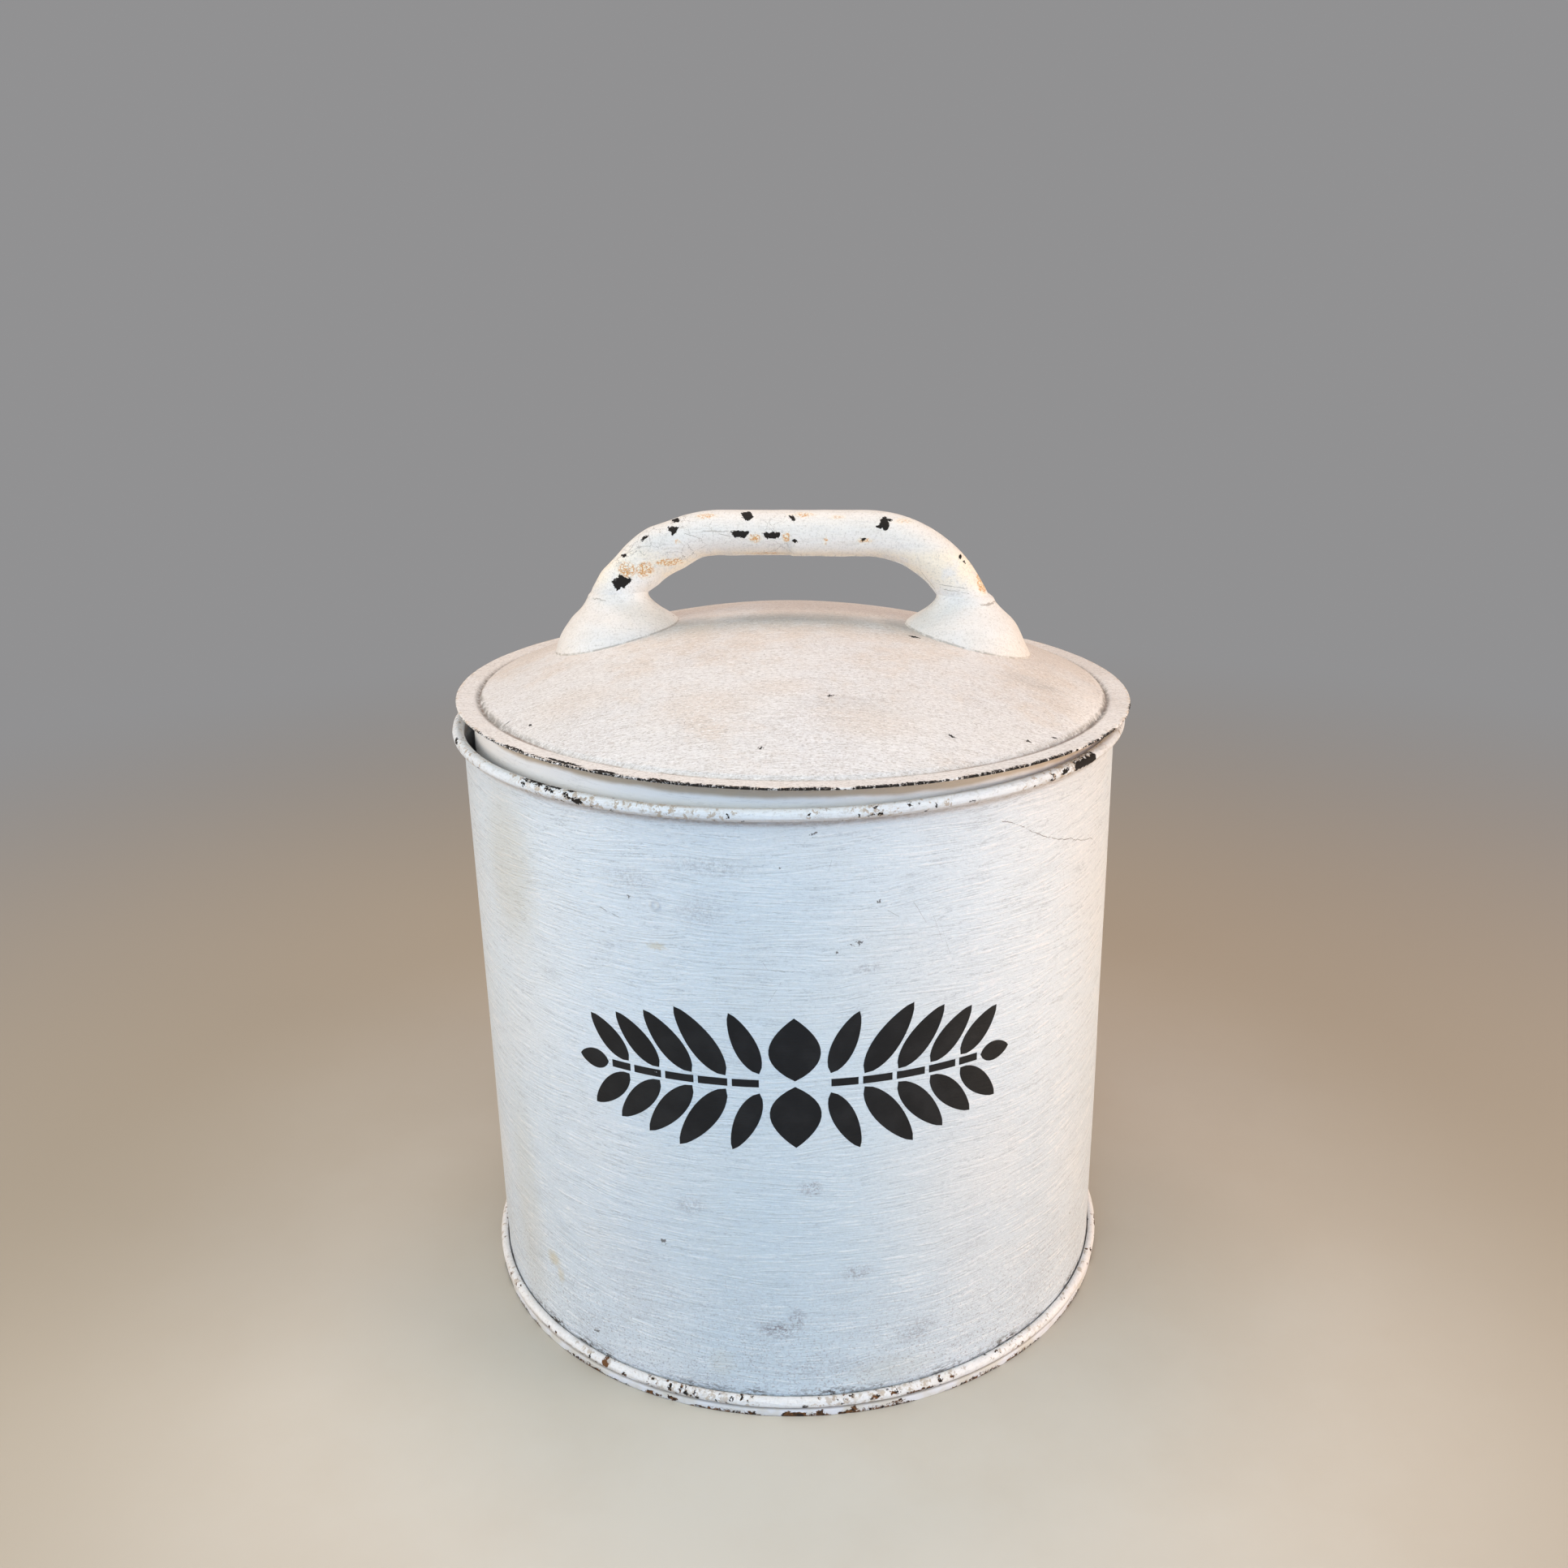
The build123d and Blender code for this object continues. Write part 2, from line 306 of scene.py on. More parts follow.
bmesh.ops.recalc_face_normals(bm, faces=bm.faces)
half_way_up = min(bm.faces, key=lambda face: abs(face.calc_center_median().z - 130))
if half_way_up.normal.dot(Vector((*half_way_up.calc_center_median().xy, 0))) > 0:
    bmesh.ops.reverse_faces(bm, faces=bm.faces)
for face in bm.faces:
    middle = face.calc_center_median()
    bare = middle.xy.length < BORE_R + 0.4 and FOOT_MID_Z + 1 < middle.z < PAINTED_DOWN_TO
    face.material_index = 0 if bare else 1
wall = finish_piece("bin_wall", bm, "bin", ("body_wall",), crease=60)
give_thickness(wall, SHEET)

# %% [markdown]
# ## The seam down the back
#
# The two ends of the sheet are hooked together, flattened and grooved. From outside that is a flat strip about 6 mm
# wide between the beads. It is a box with its outer edges rounded, and the coat of paint softens it.

# %% The back seam
SEAM_WIDE, SEAM_THICK, SEAM_LONG = 6.5, 1.3, 254.0
SEAM_MIDDLE = (0, WALL_R + 0.33, 135.7)
bm = bmesh.new()
bmesh.ops.create_cube(bm, size=1.0)
bmesh.ops.scale(bm, vec=(SEAM_WIDE, SEAM_THICK, SEAM_LONG), verts=bm.verts)
bmesh.ops.translate(bm, vec=SEAM_MIDDLE, verts=bm.verts)
outer = [
    edge for edge in bm.edges
    if edge.calc_length() > SEAM_LONG / 2 and all(vert.co.y > SEAM_MIDDLE[1] for vert in edge.verts)
]
bmesh.ops.bevel(bm, geom=outer, offset=0.5, affect="EDGES", segments=4, profile=0.5, material=-1)
for height in (90, 180):
    strip = bm.verts[:] + bm.edges[:] + bm.faces[:]
    bmesh.ops.bisect_plane(bm, geom=strip, plane_co=(0, 0, height), plane_no=(0, 0, 1))
seam = finish_piece("back_seam", bm, "bin", crease=30)

# %% [markdown]
# ## The base
#
# The base is a pressed disc whose edge turns down into a short folded skirt, the second ring that shows at the
# floor. Its section is drawn all the way round the metal, over the top and back underneath.

# %% The base
SKIRT_BEND, SKIRT_EDGE = 1.2, 0.25
RING_R, RING_HALF, RING_RISE = BORE_R - 32.5, 5, 1.2
bend_r = SKIRT_R - SKIRT_BEND
fold_r = SKIRT_R - 2 * SHEET
ring_section = [(RING_R - RING_HALF, 0), (RING_R, RING_RISE), (RING_R + RING_HALF, 0)]
bm = bmesh.new()
pen = pen_at(bm, 0, SKIRT_TOP)
for radius, height in ring_section + [(bend_r, 0)]:
    pen = run_to(bm, pen, radius, SKIRT_TOP + height, 12.0)
pen = bend_round(bm, pen, bend_r, SKIRT_TOP - SKIRT_BEND, -90, 6)
pen = run_to(bm, pen, SKIRT_R, SKIRT_EDGE, 1.0)
for radius, height in (
    (SKIRT_R - SKIRT_EDGE, 0), (fold_r, 0), (fold_r, SKIRT_TOP - SKIRT_BEND), (bend_r, SKIRT_TOP - SHEET)
):
    pen = run_to(bm, pen, radius, height)
for radius, height in ring_section[::-1] + [(0, 0)]:
    pen = run_to(bm, pen, radius, SKIRT_TOP - SHEET + height, 12.0)
turn_round(bm, 384)
for vert in bm.verts:
    radius = vert.co.xy.length
    if radius > SKIRT_R - 0.3:
        vert.co.xy *= (radius - 0.12 - 0.10 * noise.noise(vert.co / 5.0)) / radius
for face in bm.faces:
    face.material_index = 0 if face.calc_center_median().xy.length > SKIRT_R - 1.3 else 1
base = finish_piece("base_pan_skin", bm, "bin", ("base_pan",), crease=45)

# %% [markdown]
# ## The lid
#
# Dome, channel and flange are one pressing. The channel stiffens the rim and catches dirt, and the flange's edge is
# folded back under for safety. The section is the top face only, carried round the fold, and the sheet grows
# downwards. Years of lifting have left the dome with shallow hollows, the largest at the right, near the channel.

# %% The lid's sheet
CHANNEL = ((137.72, 1.80), (139.1, -0.3), (141.3, FLANGE_TOP))
HEM_BEND, HEM_WIDE = 0.5, 4.0


def hollows(x, y):
    """How deep the dome is pushed in at a place, in the lid's frame."""
    dent = math.exp(-(((x - 106) / 19) ** 2) - (((y + 50) / 13) ** 2))
    slow = noise.noise(Vector((x / 48, y / 48, 4.4)))
    return 0.95 * dent + 0.28 * slow


bm = bmesh.new()
pen = pen_at(bm, 0, APEX_Z)
pen = bend_round(bm, pen, 0, APEX_Z - DOME_R, -math.degrees(math.asin(DOME_EDGE_R / DOME_R)), 60)
corners = []
for radius, height in CHANNEL:
    pen = run_to(bm, pen, radius, height)
    corners.append(pen)
pen = run_to(bm, pen, FLANGE_R - HEM_BEND, FLANGE_TOP, 1.6)
pen = bend_round(bm, pen, FLANGE_R - HEM_BEND, FLANGE_TOP - HEM_BEND, -180, 8)
run_to(bm, pen, FLANGE_R - HEM_WIDE, 0, 1.6)
round_corners(bm, corners, 0.55, 4)
turn_round(bm, 480)
for vert in bm.verts:
    radius = vert.co.xy.length
    keep = min(1.0, max(0.0, (DOME_EDGE_R - radius) / 12))
    vert.co.z -= keep * hollows(vert.co.x, vert.co.y)
    if radius > 142:
        vert.co.z += 0.10 * noise.noise(Vector((vert.co.x / 17, vert.co.y / 17, 2.2))) - 0.05
    if radius > FLANGE_R - 0.6:
        vert.co.xy *= (radius - 0.10 + 0.10 * noise.noise(vert.co / 3.5)) / radius
bmesh.ops.recalc_face_normals(bm, faces=bm.faces)
on_dome = min(bm.faces, key=lambda face: abs(face.calc_center_median().xy.length - 60))
if on_dome.normal.z < 0:
    bmesh.ops.reverse_faces(bm, faces=bm.faces)
lid = finish_piece("lid_sheet", bm, "lid", ("lid_top",), LID_PLACE, crease=60)
give_thickness(lid, SHEET - 0.04)

# %% [markdown]
# ## The collar
#
# The collar is a plain band that plugs into the mouth, with a narrow flange soldered under the lid and its lower
# edge folded inwards. It only shows in the gap, but it shows all the way round.

# %% The collar
COLLAR_FLANGE_R, COLLAR_FLANGE_TOP, COLLAR_FOLD = 145.0, 0.45, 4
fold_top = COLLAR_FOLD - COLLAR_DEPTH
section = [
    (COLLAR_FLANGE_R, 0), (COLLAR_R, 0), (COLLAR_R, -COLLAR_DEPTH), (COLLAR_R - 2 * SHEET, -COLLAR_DEPTH),
    (COLLAR_R - 2 * SHEET, fold_top), (COLLAR_R - SHEET, fold_top), (COLLAR_R - SHEET, COLLAR_FLANGE_TOP),
    (COLLAR_FLANGE_R, COLLAR_FLANGE_TOP),
]
bm = bmesh.new()
start = pen = pen_at(bm, *section[0])
rounded = []
for radius, height in section[1:]:
    pen = run_to(bm, pen, radius, height, 4.0)
    if height == -COLLAR_DEPTH or (radius, height) == (COLLAR_R, 0):
        rounded.append(pen)
bm.edges.new((pen, start))
round_corners(bm, rounded, 0.45)
turn_round(bm, 384)
for face in bm.faces:
    middle = face.calc_center_median()
    face.material_index = 1 if middle.xy.length < COLLAR_R - 0.3 or middle.z > 0.2 else 0
collar = finish_piece("lid_collar_band", bm, "lid", ("lid_collar",), LID_PLACE, crease=50)

# %% [markdown]
# ## The handle
#
# The handle is a tube rolled from sheet, lapped along its underside, and bent twice. A curve with a round bevel would
# be quicker, but it can't carry the lap. So the ring of the section is extruded up the leg, spun round each bend and
# extruded along the bar, just as the tube went through a bender. The real left leg isn't true: it leans a few
# millimetres outwards and to the back, as does its foot. It is also a little stouter, most of all in its bend.

# %% The handle's tube


def next_ring(made):
    """The edges of the ring that an extrusion has just made."""
    return [item for item in made if isinstance(item, bmesh.types.BMEdge)]


def draw_on(bm, ring, direction, length, count):
    """Extrude a ring along a straight stretch in several equal moves."""
    for _ in range(count):
        made = bmesh.ops.extrude_edge_only(bm, edges=ring)["geom"]
        moved = [item for item in made if isinstance(item, bmesh.types.BMVert)]
        bmesh.ops.translate(bm, vec=direction * (length / count), verts=moved)
        ring = next_ring(made)
    return ring


def bend_on(bm, ring, middle_x, count):
    """Spin a ring round a bend of the tube."""
    made = bmesh.ops.spin(
        bm, geom=ring + list({v for e in ring for v in e.verts}), cent=(middle_x, 0, BAR_Z - TUBE_BEND_R),
        axis=(0, 1, 0), angle=LEG_TURN, steps=count,
    )["geom_last"]
    return next_ring(made)


def eased(value, low, high):
    """Ease from nothing at the first level to one at the second."""
    share = min(1.0, max(0.0, (value - low) / (high - low)))
    return share * share * (3 - 2 * share)


def left_lean(height):
    """How far the left leg stands out of true: outwards and to the back."""
    return Vector((-2.0 * eased(height, 60, 50), 6.0 * eased(height, 72, 42), 0))


LAP_HALF, LAP_RISE = 2.6, 0.6
bm = bmesh.new()
bmesh.ops.create_circle(bm, segments=112, radius=TUBE_R - 0.03)
for vert in bm.verts:
    if vert.co.y > 0 and abs(vert.co.x) < LAP_HALF:
        vert.co.y += LAP_RISE
corner_x = BAR_HALF + TUBE_BEND_R * math.tan(LEG_TURN / 2)
end_z = NECK_Z - 8.0 * math.sin(LEG_TURN)
end_x = corner_x + (BAR_Z - end_z) / math.tan(LEG_TURN)
rising = Vector((math.cos(LEG_TURN), 0, math.sin(LEG_TURN)))
falling = Vector((math.cos(LEG_TURN), 0, -math.sin(LEG_TURN)))
underside = Vector((math.sin(LEG_TURN), 0, -math.cos(LEG_TURN)))
turn = Matrix((Vector((0, -1, 0)), underside, rising)).transposed().to_4x4()
bmesh.ops.transform(bm, matrix=Matrix.Translation((-end_x, 0, end_z)) @ turn, verts=bm.verts)
leg = (BAR_Z - end_z) / math.sin(LEG_TURN) - TUBE_BEND_R * math.tan(LEG_TURN / 2)
ring = draw_on(bm, bm.edges[:], rising, leg, 12)
ring = bend_on(bm, ring, -BAR_HALF, 44)
ring = draw_on(bm, ring, Vector((1, 0, 0)), 2 * BAR_HALF, 50)
ring = bend_on(bm, ring, BAR_HALF, 44)
ring = draw_on(bm, ring, falling, leg, 12)
bmesh.ops.remove_doubles(bm, verts=bm.verts, dist=0.002)
bmesh.ops.holes_fill(bm, edges=bm.edges, sides=0)
bmesh.ops.recalc_face_normals(bm, faces=bm.faces)
for vert in bm.verts:
    lump = noise.noise(vert.co / 9.0) + 0.5 * noise.noise(vert.co / 3.3)
    drips = max(0.0, -vert.normal.z - 0.55) * noise.noise(vert.co / 5.5)
    vert.co += vert.normal * (0.09 * lump + 0.75 * drips - 0.10)
    if vert.co.x < 0:
        along = vert.co.x + vert.co.z
        swell = (2.0 - 0.5 * vert.normal.z) * eased(along, -28, -12) * eased(along, 20, 4)
        stout = 0.9 * eased(vert.co.z, 60, 50) + 1.1 * eased(vert.co.z, 62, 50) * eased(vert.co.z, 37, 44)
        vert.co += left_lean(vert.co.z) + Vector((min(0.0, vert.normal.x) * stout, 0, 0))
        vert.co += Vector((vert.normal.x, 0, vert.normal.z)) * swell
handle = finish_piece("handle_tube_skin", bm, "lid", ("handle_tube",), LID_PLACE, crease=50)

# %% [markdown]
# ## The bell feet
#
# Each foot is a bell drawn from a disc, trimmed to the dome and soldered on, with the tube let into its neck. The
# bell is a stack of oval rings, joined by bridging their loops. Down each side of the bell, the points that would lie
# under the dome are gathered where the side meets it, so the trimmed edge follows the dome exactly. Each bell spreads
# a little further towards the middle of the lid, where the dome rises to meet it. The left one is the straighter, and
# its neck the wider, to take the stouter leg.

# %% The bell feet
BELL_HALF, RING_POINTS = 29.6, 72
foot_x = corner_x + (BAR_Z - NECK_Z) / math.tan(LEG_TURN)
neck_x = TUBE_R / math.sin(LEG_TURN) + 1.5
neck_y = TUBE_R + 1.0
skirt_z = dome_z(foot_x + BELL_HALF) - 2.0
BELL = (
    (0.0, 1.0), (0.09, 0.962), (0.18, 0.918), (0.28, 0.862), (0.375, 0.803), (0.47, 0.738), (0.557, 0.668),
    (0.6, 0.622), (0.64, 0.568), (0.68, 0.503), (0.72, 0.430), (0.76, 0.350), (0.80, 0.268), (0.84, 0.190),
    (0.88, 0.120), (0.92, 0.060), (0.96, 0.018),
)


def ring_at(bm, middle, half_x, half_y, height):
    """One oval ring of the bell."""
    made = bmesh.ops.create_circle(bm, segments=RING_POINTS, radius=1.0)["verts"]
    bmesh.ops.scale(bm, vec=(half_x, half_y, 1), verts=made)
    bmesh.ops.translate(bm, vec=(middle, 0, height), verts=made)
    return made


def edges_of(ring):
    """Edges of a ring."""
    return list({edge for vert in ring for edge in vert.link_edges if edge.other_vert(vert) in ring})


def trim_to_dome(side_of_bell):
    """Gather the points of one side that lie under the dome where the side meets it."""
    above = side_of_bell[0].co.copy()
    for number, vert in enumerate(side_of_bell):
        gap = vert.co.z - dome_z(vert.co.xy.length)
        if gap < 0:
            gap_above = above.z - dome_z(above.xy.length)
            meeting = above.lerp(vert.co, gap_above / (gap_above - gap))
            for low in side_of_bell[number:]:
                low.co = meeting + Vector((0, 0, -0.45))
            return
        above = vert.co.copy()


def bell_foot(side):
    """A foot of the handle, left for -1 and right for 1."""
    bm = bmesh.new()
    rings = []
    wider, trimmed = (0.9, 0.25) if side < 0 else (0.0, 0.0)
    for level, flare in BELL:
        size_x = neck_x + flare * (BELL_HALF - neck_x) + wider
        size_y = neck_y + flare * (BELL_HALF - neck_y)
        ring = ring_at(bm, side * foot_x, size_x, size_y, skirt_z + level * (NECK_Z - skirt_z))
        for vert in ring:
            inwards = max(0.0, foot_x - side * vert.co.x) / size_x
            outwards = max(0.0, side * vert.co.x - foot_x) / size_x
            hump = eased(level, 0.30, 0.60) * eased(level, 0.92, 0.70)
            spread = 1.5 * eased(level, 0.35, 0.0) - 0.5 * hump
            if side < 0:
                spread = -0.5 - 0.7 * eased(level, 1.0, 0.8) - 1.6 * hump
            vert.co.x += side * (outwards * spread - 3.2 * inwards * eased(level, 0.80, 0.50))
        rings.append(ring)
    for rise, shrink in ((-0.1, 0.10), (0.35, 0.35), (0.9, 0.75), (1.5, 1.15), (2.1, 1.9)):
        lean = rise / math.tan(LEG_TURN)
        size = (neck_x - shrink * 0.9 + wider - trimmed, neck_y - shrink * 0.8)
        rings.append(ring_at(bm, side * (foot_x - lean - trimmed), *size, NECK_Z + rise))
    for low, high in zip(rings, rings[1:]):
        bmesh.ops.bridge_loops(bm, edges=edges_of(low) + edges_of(high))
    bmesh.ops.recalc_face_normals(bm, faces=bm.faces)
    for vert in bm.verts:
        vert.co += vert.normal * 0.13 * noise.noise(vert.co / 8.0)
        if side < 0:
            vert.co += left_lean(vert.co.z)
    for number in range(RING_POINTS):
        trim_to_dome([ring[number] for ring in reversed(rings)])
    bmesh.ops.remove_doubles(bm, verts=bm.verts, dist=0.02)
    which = "left" if side < 0 else "right"
    made = finish_piece(
        f"foot_{which}_bell", bm, "lid", (f"handle_foot_{which}",), LID_PLACE, crease=180
    )
    smooth = made.modifiers.new("smooth", "SUBSURF")
    smooth.levels = smooth.render_levels = 1
    return made


feet = [bell_foot(-1), bell_foot(1)]

# %% [markdown]
# ## The stencilled band
#
# The front carries a bold black stencil. Here it is a band of wheat: two ears that point outwards from a lozenge, with
# the small bridges that hold a cut stencil together. It could be a mask in the paint, but as thin shapes it keeps
# knife-sharp edges in every view. Each shape is drawn flat, as on the stencil card, and then the card is rolled on to
# the wall, ripple and all, so that the black coat stands a few hundredths of a millimetre proud.

# %% Cut the stencil
STENCIL_Z = 155.0
SUNK, PROUD = 0.25, 0.06


def cut_grain(bm, root, angle, length, width, blunt=0.72):
    """Cut one pointed grain that starts at a root and points along an angle."""
    made = bmesh.ops.create_grid(bm, x_segments=14, y_segments=5, size=0.5)["verts"]
    for vert in made:
        along = 2 * vert.co.x
        vert.co.y *= max(0.0, 1 - along * along) ** blunt * (1 - 0.18 * along)
    middle = Vector(root) + Vector((math.cos(angle), math.sin(angle))) * length / 2
    bmesh.ops.scale(bm, vec=(length, width, 1), verts=made)
    bmesh.ops.rotate(bm, cent=(0, 0, 0), matrix=Matrix.Rotation(angle, 3, "Z"), verts=made)
    bmesh.ops.translate(bm, vec=(middle.x, middle.y, 0), verts=made)


def cut_bar(bm, start, end, height, width):
    """Cut a straight length of stem."""
    made = bmesh.ops.create_grid(bm, x_segments=max(2, int(end - start) // 2), y_segments=1, size=0.5)["verts"]
    bmesh.ops.scale(bm, vec=(end - start, width, 1), verts=made)
    bmesh.ops.translate(bm, vec=((start + end) / 2, height, 0), verts=made)


bm = bmesh.new()
for up_or_down in (-1, 1):
    for number in range(4):
        root = (27.0 + 13.6 * number, up_or_down * 2.9)
        lean = up_or_down * math.radians(54 - 3.0 * number)
        cut_grain(bm, root, lean, 34 - 3.2 * number, 10.6 - 0.5 * number)
    cut_grain(bm, (13.8, up_or_down * 4.2), up_or_down * math.radians(66), 28, 9.2)
cut_grain(bm, (77.5, 0), 0.0, 14.5, 8.4)
for start, end in ((14.0, 24.6), (26.4, 38.2), (40.0, 51.8), (53.6, 65.4), (67.2, 75.7)):
    cut_bar(bm, start, end, 0, 3.2)
bmesh.ops.mirror(bm, geom=bm.verts[:] + bm.edges[:] + bm.faces[:], axis="X", merge_dist=0.0)
for up_or_down in (-1, 1):
    cut_grain(bm, (0, up_or_down * 1.2), up_or_down * math.pi / 2, 27, 20.0, 0.95)
bmesh.ops.remove_doubles(bm, verts=bm.verts, dist=0.05)
bmesh.ops.translate(bm, vec=(0, 0, -SUNK), verts=bm.verts)
grown = bmesh.ops.extrude_face_region(bm, geom=bm.faces[:])["geom"]
upper = [item for item in grown if isinstance(item, bmesh.types.BMVert)]
bmesh.ops.translate(bm, vec=(0, 0, SUNK + PROUD), verts=upper)
for vert in bm.verts:
    turn_at = vert.co.x / WALL_R
    height = STENCIL_Z + vert.co.y
    out = WALL_R + vert.co.z
    out += ripple(BORE_R * math.sin(turn_at), -BORE_R * math.cos(turn_at), height)
    vert.co = (out * math.sin(turn_at), -out * math.cos(turn_at), height)
bmesh.ops.recalc_face_normals(bm, faces=bm.faces)
stencil = finish_piece("stencil_wheat", bm, "bin", crease=30)

# %% [markdown]
# ## Small tools for node trees
#
# A procedural finish is a long sum: masks that say where, multiplied into colours and heights that say what. These
# helpers keep each step to one line, so that a finish reads in the order in which the painter and the years made it.
# They all wire the tree that was started last, which is kept in one value, so no line has to name it.

# %% Node helpers
tree = None


def feed(made, sockets):
    """Feed a node's sockets from values or from other nodes."""
    for key, value in sockets.items():
        if isinstance(value, bpy.types.NodeSocket):
            tree.links.new(value, made.inputs[key])
        else:
            made.inputs[key].default_value = value
    return made


def add(kind, sockets=None, **options):
    """Add a node, set its options and feed its sockets."""
    made = tree.nodes.new("ShaderNode" + kind)
    for option, value in options.items():
        setattr(made, option, value)
    return feed(made, sockets or {})


def calc(operation, a, b=0.5, c=0.5):
    """One sum of numbers."""
    return add("Math", {0: a, 1: b, 2: c}, operation=operation).outputs[0]


def times(first, *others):
    """Multiply numbers, as masks are laid over each other."""
    return calc("MULTIPLY", first, times(*others) if len(others) > 1 else others[0])


def vector_calc(operation, a, b=(0, 0, 0)):
    """One sum of vectors."""
    return add("VectorMath", {0: a, 1: b}, operation=operation).outputs[0]


def parts(vector):
    """The three numbers of a vector."""
    return add("SeparateXYZ", {0: vector}).outputs


def join(x, y, z=0.0):
    """A vector from three numbers."""
    return add("CombineXYZ", {0: x, 1: y, 2: z}).outputs[0]


def ramp(value, low, high, start=0.0, end=1.0):
    """Ease a number from one level to another."""
    return add("MapRange", {0: value, 1: low, 2: high, 3: start, 4: end}, interpolation_type="SMOOTHSTEP").outputs[0]


def blend(amount, a, b):
    """Mix two colours."""
    return add("Mix", {0: amount, 6: a, 7: b}, data_type="RGBA").outputs[2]


def tint(colour, over, *masks):
    """Lay a plain colour over another, where and as far as the masks say."""
    return blend(times(*masks) if len(masks) > 1 else masks[0], colour, (*over, 1))


def grain(at, scale=1.0, detail=2.0, roughness=0.5):
    """Soft noise, about 0.5."""
    return add("TexNoise", {"Vector": at, "Scale": scale, "Detail": detail, "Roughness": roughness}).outputs[0]


def streaky(at, stretch, detail=3.0, roughness=0.5):
    """Soft noise with its own scale along each axis."""
    return grain(vector_calc("MULTIPLY", at, stretch), 1.0, detail, roughness)


def new_group(name, inputs, outputs):
    """Start a node group with named sockets."""
    global tree
    tree = bpy.data.node_groups.new(name, "ShaderNodeTree")
    for socket, kind, value in inputs:
        made = tree.interface.new_socket(socket, in_out="INPUT", socket_type="NodeSocket" + kind)
        made.default_value = value
    for socket, kind in outputs:
        tree.interface.new_socket(socket, in_out="OUTPUT", socket_type="NodeSocket" + kind)
    return tree, tree.nodes.new("NodeGroupInput").outputs, tree.nodes.new("NodeGroupOutput")


def use(group, **sockets):
    """Place a group in the tree. An underscore in a name stands for a space."""
    made = tree.nodes.new("ShaderNodeGroup")
    made.node_tree = group
    return feed(made, {key.replace("_", " "): value for key, value in sockets.items()}).outputs


# %% [markdown]
# ## Coordinates that go round
#
# Brush marks, bands of dirt and chips on a bead all follow the turned shape. This group turns object coordinates into
# three plain numbers in millimetres: how far round the wall from the middle of the front, how high, and how far out.
# A UV map could carry the same, but this needs none, and its one jump falls on the seam at the back.

# %% Group: round the middle
ROUND, inside, outside = new_group(
    "round_the_middle", [("Vector", "Vector", (0, 0, 0))], [("Arc", "Float"), ("Height", "Float"), ("Radius", "Float")]
)
split = parts(inside["Vector"])
facing = calc("ARCTAN2", split[0], times(split[1], -1.0))
flat = calc("SQRT", calc("ADD", times(split[0], split[0]), times(split[1], split[1])))
feed(outside, {
    "Arc": times(facing, WALL_R),
    "Height": times(split[2], 1000.0),
    "Radius": times(flat, 1000.0),
})

# %% [markdown]
# ## Brush strokes
#
# A brush leaves ridges a fraction of a millimetre apart and a few centimetres long, and each load of paint runs at a
# slightly different angle from the last. Noise stretched along the stroke gives the ridges. Two such layers wander by
# different slow curves, and a patchy mask lays one over the other, as overlapping strokes do. A little fine tooth
# breaks the ridges up. The group gives the relief, and the grooves between ridges, where dirt collects and where the
# finishes also paint shade.

# %% Group: brush strokes
STROKES, inside, outside = new_group(
    "brush_strokes",
    [("Along", "Float", 0.0), ("Across", "Float", 0.0), ("Length", "Float", 24.0), ("Width", "Float", 1.2),
     ("Wander", "Float", 6.0)],
    [("Relief", "Float"), ("Groove", "Float")],
)
along, across, length, width, wander = (inside[n] for n in ("Along", "Across", "Length", "Width", "Wander"))
plain = join(along, across)
layers = []
for number, (scale, lean) in enumerate(((0.014, 0.05), (0.023, -0.07))):
    slow = grain(vector_calc("ADD", plain, (300.0 * number, 90.0, 0)), scale, 1.0)
    drift = times(calc("SUBTRACT", slow, 0.5), wander, 3.0)
    wavy = calc("ADD", across, calc("ADD", drift, times(along, lean)))
    stretched = join(calc("DIVIDE", along, length), calc("DIVIDE", wavy, width), 7.0 * number)
    layers.append(grain(stretched, 1.0, 4.0, 0.66))
patch = ramp(streaky(plain, (0.02, 0.05, 1), 2.0), 0.44, 0.56)
strokes = calc("MULTIPLY_ADD", patch, calc("SUBTRACT", layers[1], layers[0]), layers[0])
tooth = streaky(plain, (0.32, 1.05, 1), 3.0, 0.7)
relief = calc("MULTIPLY_ADD", calc("SUBTRACT", tooth, strokes), 0.35, strokes)
near = calc("ABSOLUTE", calc("SUBTRACT", relief, 0.45))
broken = ramp(streaky(plain, (0.06, 0.5, 1)), 0.42, 0.62)
feed(outside, {
    "Relief": ramp(relief, 0.28, 0.72),
    "Groove": times(ramp(near, 0.0, 0.035, 1.0, 0.0), broken),
})

# %% [markdown]
# ## Chips
#
# Old gloss paint doesn't wear away softly. It lets go in flakes with straight, broken edges, down to the black coat.
# Two groups make them. One scatters flakes at random, from cells that are dropped or kept. The other places one
# chip where the real bin has one: a box that may be turned, tapered or have its corners cut, down to a kite. It
# passes on the chips before it. Both read a position that has been jolted cell by cell, which breaks their edges.

# %% Groups: ragged position, scattered flakes, placed chip, soft mark
RAGGED, inside, outside = new_group(
    "ragged_position", [("Point", "Vector", (0, 0, 0)), ("Jolt", "Float", 1.0)], [("Point", "Vector")]
)
cells = add("TexVoronoi", {"Vector": inside["Point"], "Scale": 0.75}).outputs["Color"]
soft = add("TexNoise", {"Vector": inside["Point"], "Scale": 0.55, "Detail": 3.0}).outputs[1]
jolt = vector_calc("SUBTRACT", vector_calc("ADD", cells, soft), (1.0, 1.0, 1.0))
splinters = add("TexVoronoi", {"Vector": inside["Point"], "Scale": 1.9}).outputs["Color"]
splinters = vector_calc("MULTIPLY", vector_calc("SUBTRACT", splinters, (0.5, 0.5, 0.5)), (0.6, 0.6, 0.6))
jolt = vector_calc("ADD", jolt, splinters)
